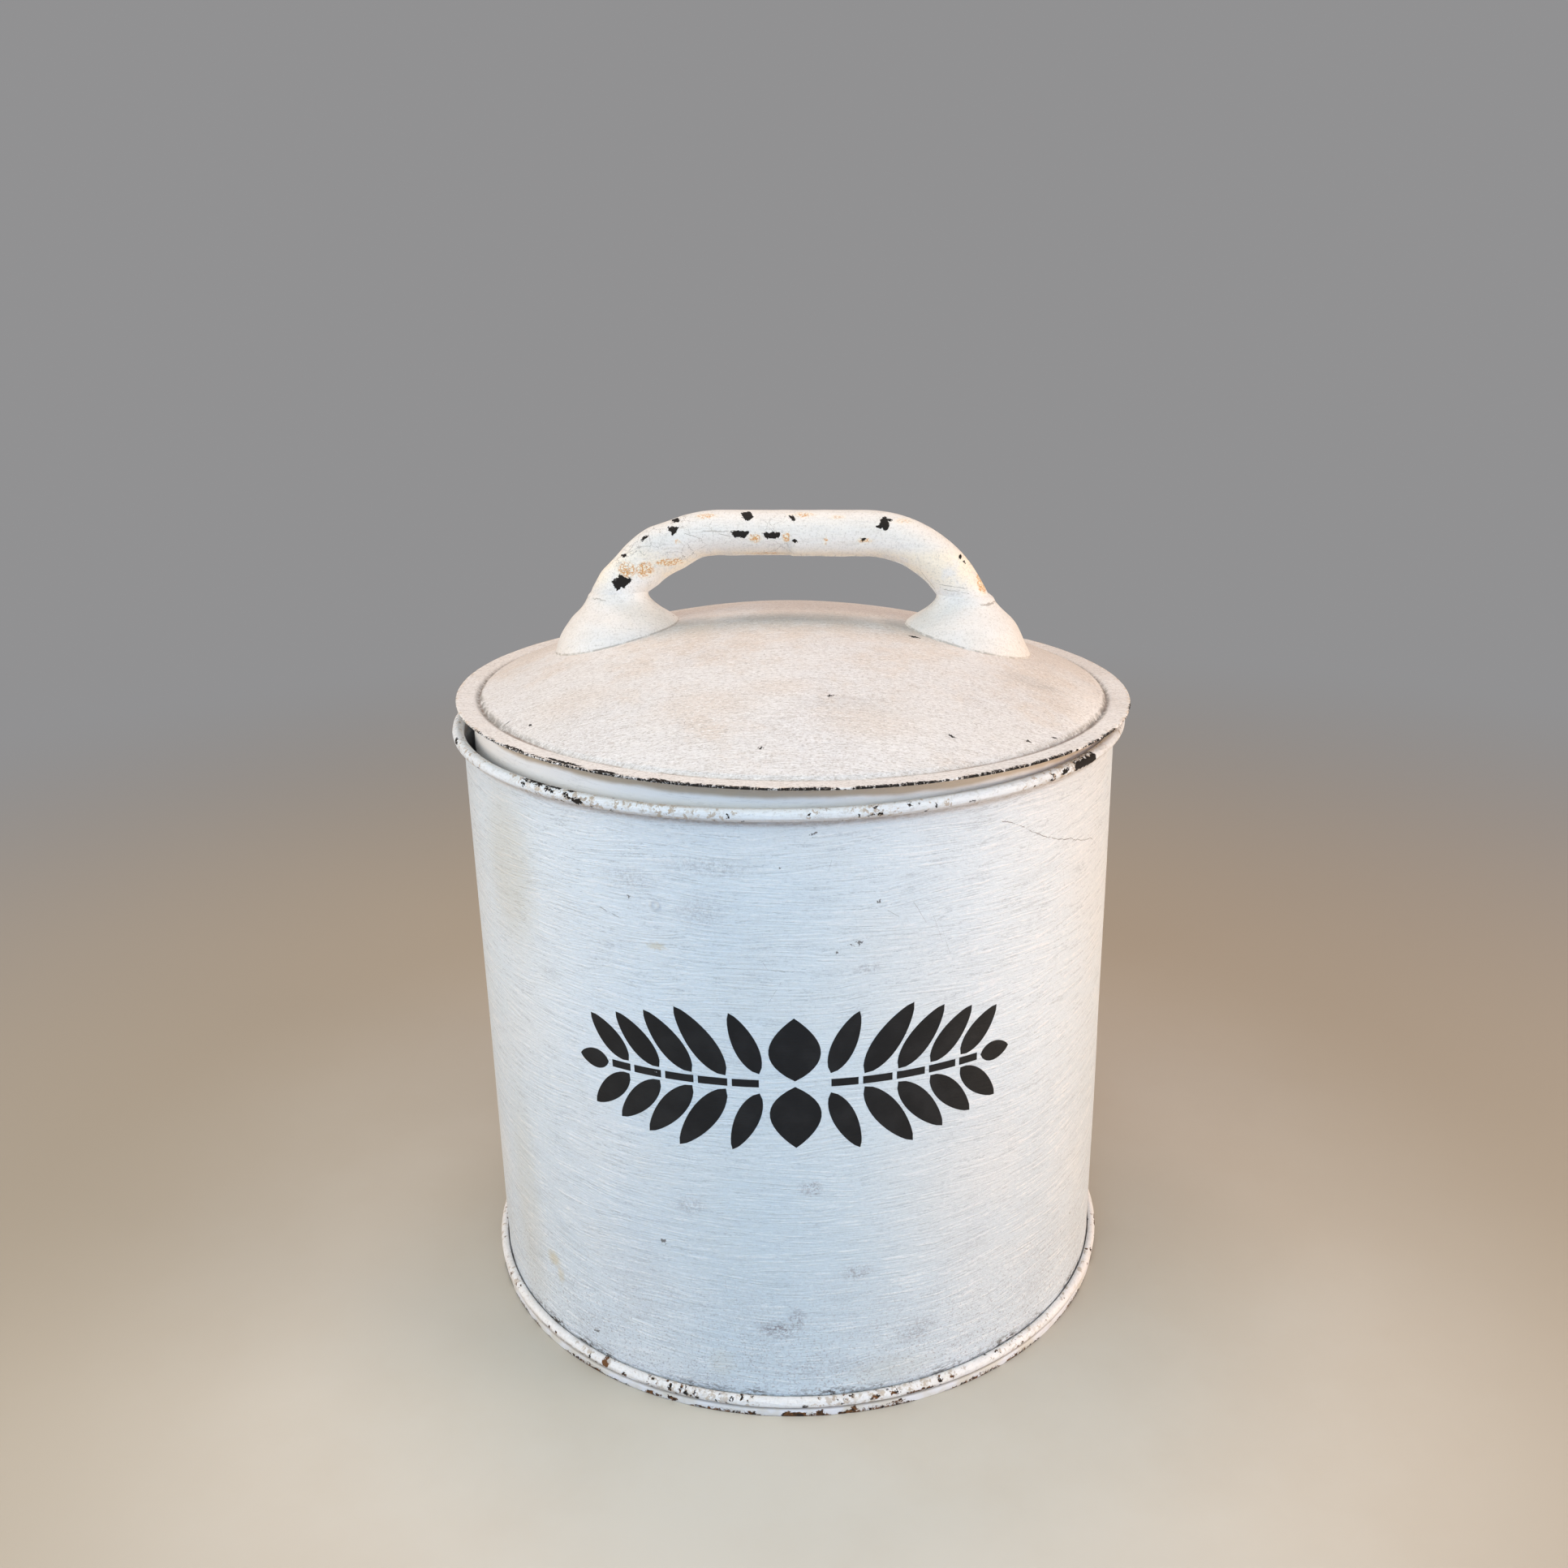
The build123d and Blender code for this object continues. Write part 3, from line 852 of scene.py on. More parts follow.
jolt = add("VectorMath", {0: jolt, "Scale": inside["Jolt"]}, operation="SCALE").outputs[0]
feed(outside, {"Point": vector_calc("ADD", inside["Point"], jolt)})

FLAKES, inside, outside = new_group(
    "scattered_flakes",
    [("Point", "Vector", (0, 0, 0)), ("Size", "Float", 2.0), ("Share", "Float", 0.1)], [("Chip", "Float")],
)
scale = calc("DIVIDE", 1.0, inside["Size"])
cell = add("TexVoronoi", {"Vector": inside["Point"], "Scale": scale}).outputs["Color"]
pick = add("SeparateColor", {0: cell}).outputs[0]
feed(outside, {"Chip": calc("LESS_THAN", pick, inside["Share"])})

PLACED, inside, outside = new_group(
    "placed_chip",
    [("Before", "Float", 0.0), ("Point", "Vector", (0, 0, 0)), ("Middle", "Vector", (0, 0, 0)),
     ("Half", "Vector", (1, 1, 1)), ("Turn", "Float", 0.0), ("Taper", "Float", 0.0), ("Cut", "Float", 0.5)],
    [("Chip", "Float")],
)
away = vector_calc("SUBTRACT", inside["Point"], inside["Middle"])
away = add("VectorRotate", {"Vector": away, "Angle": inside["Turn"]}, rotation_type="Z_AXIS").outputs[0]
a, b, c = parts(vector_calc("DIVIDE", away, inside["Half"]))
narrowing = calc("MAXIMUM", calc("MULTIPLY_ADD", b, inside["Taper"], 1.0), 0.05)
a, b, c = (calc("ABSOLUTE", side) for side in (calc("DIVIDE", a, narrowing), b, c))
corner = times(calc("ADD", a, b), inside["Cut"])
farthest = calc("MAXIMUM", calc("MAXIMUM", a, b), calc("MAXIMUM", c, corner))
feed(outside, {"Chip": calc("MAXIMUM", calc("LESS_THAN", farthest, 1.0), inside["Before"])})

MARK, inside, outside = new_group(
    "soft_mark",
    [("Before", "Float", 0.0), ("Point", "Vector", (0, 0, 0)), ("Middle", "Vector", (0, 0, 0)),
     ("Half", "Vector", (1, 1, 1)), ("Strength", "Float", 1.0)],
    [("Mark", "Float")],
)
away = vector_calc("DIVIDE", vector_calc("SUBTRACT", inside["Point"], inside["Middle"]), inside["Half"])
distance = add("VectorMath", {0: away}, operation="LENGTH").outputs[1]
faded = times(ramp(distance, 0.25, 1.15, 1.0, 0.0), inside["Strength"])
feed(outside, {"Mark": calc("MAXIMUM", faded, inside["Before"])})

# %% [markdown]
# ## Worn edges, hairline cracks and dirt
#
# Where metal turns sharply the paint is thinnest, so an edge shows a broken dark line. Its reach inwards is given by
# noise along the edge, and is nothing for most of the way. A crack is a wandering line between two points. Dirt is
# the fine speckle that a damp cloth leaves in the relief, gathered in clouds.

# %% Groups: worn edge, crack, speckle
WORN, inside, outside = new_group(
    "worn_edge",
    [("From Edge", "Float", 0.0), ("Along", "Float", 0.0), ("Reach", "Float", 1.5), ("Share", "Float", 0.4)],
    [("Chip", "Float")],
)
runs = grain(join(times(inside["Along"], 0.045), 3.0), 1.0, 2.0)
bare = ramp(calc("ADD", runs, inside["Share"]), 0.92, 1.10)
bite = grain(join(times(inside["Along"], 0.8), times(inside["From Edge"], 0.6)), 1.0, 4.0, 0.8)
reach = times(bare, ramp(bite, 0.36, 0.66), inside["Reach"])
feed(outside, {"Chip": calc("LESS_THAN", inside["From Edge"], calc("SUBTRACT", reach, 0.05))})

CRACK, inside, outside = new_group(
    "hairline_crack",
    [("Before", "Float", 0.0), ("Along", "Float", 0.0), ("Across", "Float", 0.0), ("Start", "Vector", (0, 0, 0)),
     ("End", "Vector", (1, 1, 0)), ("Half Width", "Float", 0.15), ("Wander", "Float", 1.5)],
    [("Crack", "Float")],
)
x0, y0, _ = parts(inside["Start"])
x1, y1, _ = parts(inside["End"])
share = calc("DIVIDE", calc("SUBTRACT", inside["Along"], x0), calc("SUBTRACT", x1, x0))
line = calc("MULTIPLY_ADD", share, calc("SUBTRACT", y1, y0), y0)
sway = grain(join(times(inside["Along"], 0.09), y0), 1.0, 4.0, 0.6)
line = calc("MULTIPLY_ADD", calc("SUBTRACT", sway, 0.5), times(inside["Wander"], 4.0), line)
gap = calc("ABSOLUTE", calc("SUBTRACT", inside["Across"], line))
thin = ramp(grain(join(inside["Along"], y1), 0.45, 2.0), 0.30, 0.55)
on_line = calc("LESS_THAN", gap, times(thin, inside["Half Width"]))
between = calc("LESS_THAN", calc("ABSOLUTE", calc("SUBTRACT", share, 0.5)), 0.5)
crack = times(on_line, between)
feed(outside, {"Crack": calc("MAXIMUM", crack, inside["Before"])})

SPECKLE, inside, outside = new_group(
    "dirt_speckle",
    [("Point", "Vector", (0, 0, 0)), ("Spacing", "Float", 6.0), ("Dot", "Float", 0.3), ("Share", "Float", 0.3)],
    [("Dots", "Float"), ("Dust", "Float")],
)
scale = calc("DIVIDE", 1.0, inside["Spacing"])
dots = add("TexVoronoi", {"Vector": inside["Point"], "Scale": scale}).outputs
chosen = calc("LESS_THAN", add("SeparateColor", {0: dots["Color"]}).outputs[1], inside["Share"])
size = times(inside["Dot"], scale, add("SeparateColor", {0: dots["Color"]}).outputs[2])
feed(outside, {"Dots": times(chosen, calc("LESS_THAN", dots["Distance"], size))})
fine = ramp(grain(inside["Point"], 1.15, 3.0, 0.7), 0.48, 0.68)
cloud = ramp(grain(inside["Point"], 0.03, 3.0), 0.44, 0.70)
feed(outside, {"Dust": times(fine, cloud)})
print("groups:", [g.name for g in bpy.data.node_groups])

# %% [markdown]
# ## The coat of paint
#
# Every painted piece ends the same way: the coat's colour, stains soaked into it, then chips that show the black coat
# below, and last the height of it all. A chip is a step down of about a seventh of a millimetre, and the bump is
# given real heights in metres, so that the step catches light as the relief of the strokes does.

# %% Paint shared by all pieces
OLD_BLACK = (0.018, 0.015, 0.013, 1)
RUST = (0.17, 0.075, 0.03, 1)


def start_finish(name):
    """Start a material. Gives it back with its shader and its object coordinates."""
    global tree
    material = bpy.data.materials.new(name)
    material.use_nodes = True
    tree = material.node_tree
    return material, tree.nodes["Principled BSDF"], add("TexCoord").outputs["Object"]


def bump(height):
    """The normals of a relief whose height is in metres."""
    return add("Bump", {"Height": height, "Strength": 1.0, "Distance": 1.0}).outputs[0]


def end_coat(shader, colour, chip, relief, stroke_height=0.05, chip_depth=0.14, chip_colour=OLD_BLACK, gloss=0.42):
    """Feed colour, roughness and relief of a coat of paint into its shader."""
    feed(shader, {"Base Color": blend(chip, colour, chip_colour)})
    rough = calc("MULTIPLY_ADD", chip, 0.22, calc("MULTIPLY_ADD", relief, -0.10, gloss + 0.05))
    feed(shader, {
        "Roughness": rough,
        "Specular IOR Level": calc("MULTIPLY_ADD", chip, -0.35, 0.5),
    })
    height = times(relief, stroke_height * 0.001)
    height = calc("MULTIPLY_ADD", chip, -chip_depth * 0.001, height)
    feed(shader, {"Normal": bump(height)})


def millimetres(at, place=None):
    """Object coordinates in millimetres, in the lid's own frame if its place is given."""
    if place:
        shift = place.to_translation() * 0.001
        at = add(
            "Mapping", {"Vector": at, "Location": shift, "Rotation": place.to_euler()}, vector_type="TEXTURE"
        ).outputs[0]
    return add("VectorMath", {0: at, "Scale": 1000.0}, operation="SCALE").outputs[0], at


def chips_at(point, places, before=0.0):
    """Chain placed chips: each has a middle, a half size, and for some a turn in degrees, a taper and a cut."""
    for middle, half, *shape in places:
        turn, taper, cut = shape or (0.0, 0.0, 0.6)
        before = use(
            PLACED, Before=before, Point=point, Middle=middle, Half=half, Turn=-math.radians(turn), Taper=taper, Cut=cut
        )["Chip"]
    return before


def marks_at(point, places, before=0.0):
    """Chain soft marks, each given by its middle, its half size and its strength."""
    for middle, half, strength in places:
        before = use(MARK, Before=before, Point=point, Middle=middle, Half=half, Strength=strength)["Mark"]
    return before


def cracks_at(along, across, rows, scale=1.0):
    """Chain cracks, each given by its start, its end, its half width and its wander."""
    before = 0.0
    for x0, y0, x1, y1, half, sway in rows:
        before = use(
            CRACK, Before=before, Along=along, Across=across, Start=(x0 * scale, y0, 0), End=(x1 * scale, y1, 0),
            Half_Width=half, Wander=sway,
        )["Crack"]
    return before


# %% [markdown]
# ## Bare tin
#
# Inside, the sheet was never painted, but for the two and a half centimetres that the brush could reach.
# Hot-dipped tin starts bright, then dulls to a soft grey with brown spotting where the tin has gone. Its grey skin is
# only partly metal, so it is given a middling Metallic, and it spreads the light that falls in instead of mirroring.

# %% Bare tin
bare_tin, shader, at = start_finish("bare_tin")
point, _ = millimetres(at)
cloud = ramp(grain(point, 0.022, 4.0, 0.6), 0.40, 0.68)
spot = times(ramp(grain(point, 0.5, 4.0, 0.7), 0.56, 0.70), cloud)
tone = blend(cloud, (0.62, 0.60, 0.57, 1), (0.46, 0.41, 0.35, 1))
feed(shader, {
    "Base Color": blend(spot, tone, (0.20, 0.115, 0.06, 1)),
    "Roughness": calc("MULTIPLY_ADD", cloud, 0.22, 0.42),
    "Metallic": calc("MULTIPLY_ADD", spot, -0.5, 0.6),
    "Normal": bump(times(grain(point, 0.9, 3.0), 0.00003)),
})

# %% [markdown]
# ## The wall's paint
#
# The wall is brushed round the drum. Its white is painted darker towards the bottom, a painted shade, and cooler in the
# middle of the front, a painted cool light, with a warm bloom here and there, and the dirt keeps low. The grooves of
# the strokes hold dirt and painted shade, and their ridges a painted highlight. The smudges, stains, specks and the
# long hairline crack at the right are placed where the real ones are, in degrees round from the front and millimetres
# up.

# %% The wall's paint: strokes and bloom
DEGREE = WALL_R * math.pi / 180


def round_wall(radius, rows, depth=9):
    """Full places from degrees round, height, half width and half height, at one radius."""
    return [((turn * DEGREE, up, radius), (wide, tall, depth), *rest) for turn, up, wide, tall, *rest in rows]


wall_paint, shader, at = start_finish("wall_paint")
arc, height, radius = use(ROUND, Vector=at)[:3]
point = join(arc, height, radius)
strokes = use(STROKES, Along=arc, Across=height, Length=30.0, Width=0.95, Wander=2.4)
ragged = use(RAGGED, Point=point, Jolt=0.9)[0]
bloom = ramp(grain(point, 0.012, 3.0), 0.40, 0.68)
# Painted shade: the wall's white is darker towards the bottom.
white_shaded_low = blend(ramp(height, 50.0, 190.0), (0.645, 0.708, 0.765, 1), (0.745, 0.808, 0.86, 1))
colour = blend(times(bloom, 0.45), white_shaded_low, (0.79, 0.782, 0.768, 1))
# Dirt and painted shade in the grooves of the strokes, and a painted highlight on their ridges.
colour = tint(colour, (0.40, 0.42, 0.45), strokes["Groove"], 0.66)
ridge_highlight = ramp(strokes["Relief"], 0.55, 0.85)
colour = tint(colour, (0.91, 0.91, 0.92), ridge_highlight, 0.70)
# Painted cool light: the middle of the front is tinted blue.
painted_cool_light = marks_at(point, [((0, 120, 145), (75, 190, 90), 1.0)])
colour = tint(colour, (0.52, 0.70, 0.79), painted_cool_light, 0.22)

# %% The wall's paint: dirt
speckle = use(SPECKLE, Point=ragged, Spacing=9.0, Dot=0.75, Share=0.22)
low = calc("MULTIPLY_ADD", ramp(height, 4.0, 95.0, 1.0, 0.0), 0.55, 0.10)
colour = tint(colour, (0.33, 0.31, 0.34), speckle["Dust"], low)
pepper = ramp(grain(point, 0.95, 3.0, 0.8), 0.53, 0.66)
pepper = times(pepper, ramp(height, 4.0, 80.0, 0.78, 0.14))
colour = tint(colour, (0.30, 0.28, 0.31), pepper)
smudges = marks_at(ragged, round_wall(145, [
    (-3.3, 41, 11, 5.5, 1.0), (-0.5, 46, 5, 7, 0.8), (19.6, 33, 10, 7, 0.6), (2.2, 108, 6, 4, 0.8),
    (11.3, 202.2, 7, 3, 0.45), (9.6, 67, 8, 5, 0.7), (-17.3, 97, 9, 6, 0.4), (-25.0, 236, 15, 6, 0.3),
    (-12.0, 244, 22, 5, 0.35), (-14.0, 226, 12, 9, 0.3), (4.0, 21, 30, 7, 0.35),
]))
fine = ramp(grain(point, 0.9, 3.0, 0.75), 0.40, 0.66)
colour = tint(colour, (0.24, 0.22, 0.25), smudges, fine, 0.95)
yellow = marks_at(ragged, round_wall(145, [
    (-48.0, 42, 6, 4.5, 0.8), (-46.2, 36, 3, 5, 0.6), (-13.0, 22, 7, 9, 0.22), (-52.0, 225, 24, 44, 0.42),
    (-20.9, 209.8, 5, 1.8, 0.7), (-56.0, 60, 16, 70, 0.25), (15.0, 16, 24, 9, 0.2),
]))
colour = tint(colour, (0.60, 0.52, 0.36), yellow, 0.8)

# %% The wall's paint: specks, cracks and a blister
specks = chips_at(ragged, round_wall(145, [
    (-22.3, 77, 1.1, 0.9), (9.9, 212.8, 0.75, 0.8, 0.0, 0.9, 0.5), (8.7, 212.6, 0.9, 0.35), (6.6, 209.8, 0.5, 0.5),
    (13.0, 229, 0.5, 0.5), (3.3, 257.4, 1.3, 0.4, 25.0, 0.0, 0.6), (-1.6, 244.5, 0.5, 0.4), (-37.4, 18, 1.6, 0.5),
    (-25.2, 228.4, 0.7, 0.7),
]))
specks = calc("MAXIMUM", specks, speckle["Dots"])
cracks = cracks_at(arc, height, [
    (33.6, 253.0, 44.6, 238.3, 0.19, 1.2), (44.6, 238.3, 51.8, 231.8, 0.17, 1.0),
    (51.8, 231.8, 60.0, 226.0, 0.13, 1.2), (39.7, 239.6, 39.2, 235.6, 0.14, 0.3), (5.9, 247.2, 5.4, 242.8, 0.12, 0.4),
    (18.3, 226.5, 20.4, 217.5, 0.10, 1.0), (-44.6, 36.0, -43.8, 27.0, 0.16, 0.4),
    (-43.0, 24.0, -39.5, 17.5, 0.14, 0.8), (-30.5, 222.0, -27.0, 219.0, 0.14, 0.5),
    (49.0, 222.0, 49.6, 214.0, 0.14, 0.4), (-12.0, 64.0, -11.4, 52.0, 0.12, 0.4),
    (-7.6, 262.0, -7.2, 255.5, 0.14, 0.3), (-4.4, 206.5, -3.7, 203.2, 0.10, 0.2),
    (-2.8, 208.2, -3.2, 203.4, 0.09, 0.6), (-3.2, 203.2, -1.2, 203.0, 0.09, 0.6),
    (-0.6, 201.0, -0.9, 190.0, 0.08, 0.5), (-1.8, 198.5, -3.8, 189.5, 0.08, 0.4),
    (-4.3, 202.0, -4.8, 192.0, 0.08, 0.4), (21.6, 220.0, 23.2, 208.0, 0.10, 1.2),
    (23.0, 214.0, 24.6, 202.0, 0.09, 1.2), (14.2, 225.0, 16.0, 222.0, 0.09, 0.6),
], DEGREE)
colour = tint(colour, (0.15, 0.13, 0.12), cracks, 0.8)
colour = tint(colour, (0.10, 0.09, 0.085), specks, 0.85)
ring, hollow = (marks_at(point, round_wall(145, [(-20.7, 226.8, size, size, 1.0)])) for size in (2.8, 1.7))
blister = calc("SUBTRACT", ring, hollow)
colour = tint(colour, (0.20, 0.21, 0.24), blister, 0.35)

# %% [markdown]
# ### The beads and their creases
# The crease under the rim holds soft tan dirt and painted shade, and the one above the foot a thin black crust with
# thicker runs. Both are bands of height, broken up by noise. The beads chip in clusters: black on the rim, rusty on the
# foot. The foot's underside stays damp and has browned, and the paint on top of the rim's roll has worn thin at the
# left.

# %% The wall's paint: creases
proud = ramp(radius, 145.2, 145.7)
on_rim = times(proud, calc("GREATER_THAN", height, 262.0))
on_foot = times(proud, calc("LESS_THAN", height, 9.4))
breaks = ramp(streaky(point, (0.35, 0.8, 0.2), 4.0, 0.75), 0.42, 0.58)
# Painted shade and tan dirt in a band under the rim's bead.
under_rim_dirt_and_shade = times(ramp(height, 259.4, 262.1), ramp(height, 264.3, 265.2, 1.0, 0.0))
under_rim_dirt_and_shade = times(under_rim_dirt_and_shade, calc("MULTIPLY_ADD", breaks, 0.25, 0.50))
colour = tint(colour, (0.35, 0.26, 0.19), under_rim_dirt_and_shade)
runs = ramp(grain(join(times(arc, 0.035), 1.0), 1.0, 3.0), 0.44, 0.58)
thin_line = times(ramp(height, 8.9, 8.2), calc("MULTIPLY_ADD", runs, 0.75, 0.15), breaks)
patches = times(ramp(height, 12.5, 8.8), runs, ramp(breaks, 0.3, 0.9))
crust = times(calc("MAXIMUM", thin_line, patches), calc("LESS_THAN", radius, 145.5))
colour = tint(colour, (0.085, 0.07, 0.06), crust)
lip = calc("MULTIPLY_ADD", grain(point, 0.9, 3.0, 0.7), -0.9, height)
lip = times(calc("GREATER_THAN", lip, 267.5), calc("GREATER_THAN", radius, 145.6))
lip_runs = marks_at(point, round_wall(146, [(-38.0, 268, 17, 9, 0.8)]))
faint = marks_at(point, round_wall(146, [(-20.0, 268, 36, 9, 1.0)]))
colour = tint(colour, (0.33, 0.25, 0.19), lip, faint, 0.65)
lip = times(lip, calc("GREATER_THAN", times(lip_runs, breaks), 0.16))

# %% The wall's paint: chips on the beads
clusters = ramp(grain(join(times(arc, 0.022), 5.0), 1.0, 2.0), 0.45, 0.62)
clusters = marks_at(point, round_wall(148, [
    (-36.0, 266, 30, 90, 1.0), (-18.0, 266, 26, 20, 0.8), (11.0, 266, 14, 20, 0.8), (47.0, 266, 24, 20, 1.0),
    (15.0, 6, 34, 20, 1.0), (-17.0, 6, 30, 20, 0.9), (-36.0, 6, 14, 20, 0.8), (40.0, 6, 18, 20, 0.6),
], 90), times(clusters, 0.6))
rim_flakes = use(FLAKES, Point=ragged, Size=1.1, Share=calc("MULTIPLY_ADD", clusters, 0.030, 0.002))["Chip"]
foot_flakes = use(FLAKES, Point=ragged, Size=1.2, Share=calc("MULTIPLY_ADD", clusters, 0.045, 0.006))["Chip"]
rim_places = round_wall(149, [
    (51.6, 266.0, 8.6, 1.7, 0.0, 0.0, 0.55), (54.2, 266.9, 1.6, 1.0, 60.0, 0.0, 0.7),
    (45.6, 266.2, 2.6, 0.8, 15.0, 0.5, 0.8), (42.4, 264.8, 2.2, 0.5, 15.0, 0.0, 0.9),
    (-32.0, 265.6, 2.4, 1.3, 0.0, -0.4, 0.7), (-34.0, 266.6, 2.6, 0.5, -8.0, 0.0, 0.7), (-37.6, 267.2, 2.2, 0.5),
    (-40.6, 268.3, 10.4, 0.5, 0.0, 0.0, 0.8), (-43.2, 266.6, 2.1, 0.4, -12.0, 0.0, 0.8),
    (12.5, 265.4, 1.2, 0.8, 10.0, 0.3, 0.8), (11.2, 264.9, 1.5, 0.25), (17.0, 267.2, 0.8, 0.4),
    (26.8, 264.9, 1.6, 0.3), (38.5, 264.9, 0.8, 0.4), (-70.0, 266.5, 3.2, 0.9, 0.0, 0.4, 0.7),
    (118.0, 266.0, 5.0, 1.2, 0.0, 0.2, 0.6), (-131.0, 266.4, 6.5, 1.0),
])
foot_places = round_wall(149, [
    (-34.5, 6.4, 2.0, 1.5, -20.0, 0.3, 0.7), (-30.5, 5.8, 1.2, 0.9), (-21.8, 6.8, 0.6, 1.1, -20.0, 0.0, 0.7),
    (-20.0, 6.9, 0.5, 1.2, -15.0, 0.0, 0.7), (-19.0, 6.7, 0.7, 1.4, 20.0, 0.0, 0.7),
    (0.6, 5.6, 1.6, 0.7, 0.0, 0.0, 0.8), (12.0, 7.0, 2.6, 0.6, 8.0, 0.0, 0.8), (15.2, 7.2, 1.6, 0.5),
    (23.5, 7.1, 1.1, 0.8, 0.0, 0.0, 0.8), (20.0, 5.2, 6.0, 0.6), (80.0, 6.0, 5.0, 1.0), (-100.0, 6.4, 4.0, 1.0),
    (160.0, 6.0, 6.0, 1.0),
])
rim_chip = times(on_rim, chips_at(ragged, rim_places, calc("MAXIMUM", lip, rim_flakes)))
foot_chip = times(on_foot, chips_at(ragged, foot_places, foot_flakes))

# %% The wall's paint: stains on the beads, and the whole coat
beads = calc("MULTIPLY_ADD", on_foot, 0.80, on_rim)
colour = tint(colour, (0.94, 0.885, 0.85), on_foot, 0.70)
colour = tint(colour, (0.90, 0.90, 0.91), on_rim, 0.45)
freckles = use(SPECKLE, Point=ragged, Spacing=2.6, Dot=0.9, Share=calc("MULTIPLY_ADD", clusters, 0.30, 0.10))["Dots"]
colour = tint(colour, (0.30, 0.21, 0.14), freckles, beads, 0.60)
tan = use(FLAKES, Point=ragged, Size=1.5, Share=times(clusters, 0.26))["Chip"]
colour = tint(colour, (0.44, 0.335, 0.235), tan, beads, 0.75)
stain = times(ramp(grain(point, 0.35, 3.0, 0.7), 0.50, 0.64), clusters, beads)
colour = tint(colour, (0.50, 0.38, 0.24), stain, 0.55)
worn_grey = times(ramp(grain(vector_calc("ADD", point, (9, 0, 0)), 0.5, 4.0, 0.75), 0.52, 0.66), beads)
colour = tint(colour, (0.38, 0.34, 0.29), worn_grey, 0.30)
damp = marks_at(point, round_wall(148, [(-46.0, 4, 44, 9, 0.8), (-22.0, 4, 26, 9, 0.5)]))
damp = times(damp, calc("MULTIPLY_ADD", breaks, 0.6, 0.4))
damp = times(damp, ramp(height, 6.8, 5.4))
lowest = times(ramp(height, 5.2, 3.9), calc("MULTIPLY_ADD", breaks, 0.45, 0.25))
under_foot = times(on_foot, calc("MAXIMUM", lowest, damp))
colour = tint(colour, (0.27, 0.20, 0.145), under_foot)
rust_mix = marks_at(point, round_wall(149, [(-34.0, 6, 9, 9, 1.0)]), ramp(grain(point, 0.5, 2.0), 0.42, 0.62))
chip_colour = blend(times(foot_chip, rust_mix), OLD_BLACK, RUST)
relief = calc("MULTIPLY_ADD", blister, 1.6, strokes["Relief"])
end_coat(shader, colour, calc("MAXIMUM", rim_chip, foot_chip), relief, 0.24, 0.16, chip_colour, 0.46)
for made in (wall, seam):
    if made is wall:
        made.data.materials.append(bare_tin)
    made.data.materials.append(wall_paint)

# %% [markdown]
# ## The base's paint
#
# The skirt stands in every puddle and scrapes along every shelf. Its lower edge has lost most of its paint in runs,
# and what shows is dark rust. Its upper bend keeps a line of dirt.

# %% The base's paint
base_paint, shader, at = start_finish("base_paint")
arc, height, radius = use(ROUND, Vector=at)[:3]
point = join(arc, height, radius)
strokes = use(STROKES, Along=arc, Across=height, Length=18.0, Width=0.7, Wander=2.0)
ragged = use(RAGGED, Point=point, Jolt=0.8)[0]
colour = blend(ramp(grain(point, 0.08, 3.0), 0.40, 0.62), (0.76, 0.76, 0.80, 1), (0.66, 0.62, 0.56, 1))
top_dirt = times(ramp(height, 2.8, 3.5), 0.55)
colour = tint(colour, (0.28, 0.235, 0.20), top_dirt)
worn = use(WORN, From_Edge=height, Along=arc, Reach=2.6, Share=0.52)["Chip"]
places = round_wall(148, [
    (-1.2, 1.0, 4.8, 1.2, 0.0, 0.0, 0.55), (7.4, 0.9, 3.2, 0.8), (-8.0, 1.0, 1.6, 0.8), (-21.5, 1.6, 2.2, 1.0),
    (-25.6, 1.4, 1.6, 0.8), (3.0, 1.5, 1.6, 1.4), (8.6, 2.2, 1.2, 1.0), (16.0, 2.2, 3.0, 0.4),
])
chip = chips_at(ragged, places, worn)
rust_mix = ramp(grain(point, 0.6, 3.0), 0.40, 0.60)
end_coat(shader, colour, chip, strokes["Relief"], 0.04, 0.14, blend(rust_mix, (0.035, 0.022, 0.016, 1), RUST))
base.data.materials.append(base_paint)
base.data.materials.append(bare_tin)

# %% [markdown]
# ## The lid's paint
#
# The lid faces up, so dust has yellowed it to cream, and towards the back it is painted darker and browner. The strokes
# run from left to right across the dome, and the dust is streaked along them. The flange is the lightest, as paint worn
# clean by wiping and, above all at the sides, as a painted highlight. The channel is darkened grey, most at the left
# and right, and the flange's edge shows a long broken black line in front. The handle's shadow on the dome, between the
# feet, is painted in, with fainter painted shade in the dent at the right. The grooves of the strokes hold dirt and
# painted shade, and their ridges a painted highlight. All of it is worked out level, in the lid's own frame, by a
# mapping that undoes the lid's place.

# %% The lid's paint: strokes and clouds
lid_paint, shader, at = start_finish("lid_paint")
point, level = millimetres(at, LID_PLACE)
arc, height, radius = use(ROUND, Vector=level)[:3]
x, y, z = parts(point)
strokes = use(STROKES, Along=x, Across=y, Length=15.0, Width=0.75, Wander=1.6)
ragged = use(RAGGED, Point=point, Jolt=0.9)[0]
bloom = ramp(grain(point, 0.016, 3.0, 0.6), 0.36, 0.66)
colour = blend(bloom, (0.775, 0.755, 0.738, 1), (0.775, 0.765, 0.765, 1))
towards = calc("MULTIPLY_ADD", ramp(y, -100.0, 60.0), 0.25, times(ramp(x, 45.0, 125.0), 0.12))
pink = grain(vector_calc("ADD", point, (77, 0, 0)), 0.024, 5.0, 0.68)
pink = ramp(calc("ADD", pink, towards), 0.52, 0.74)
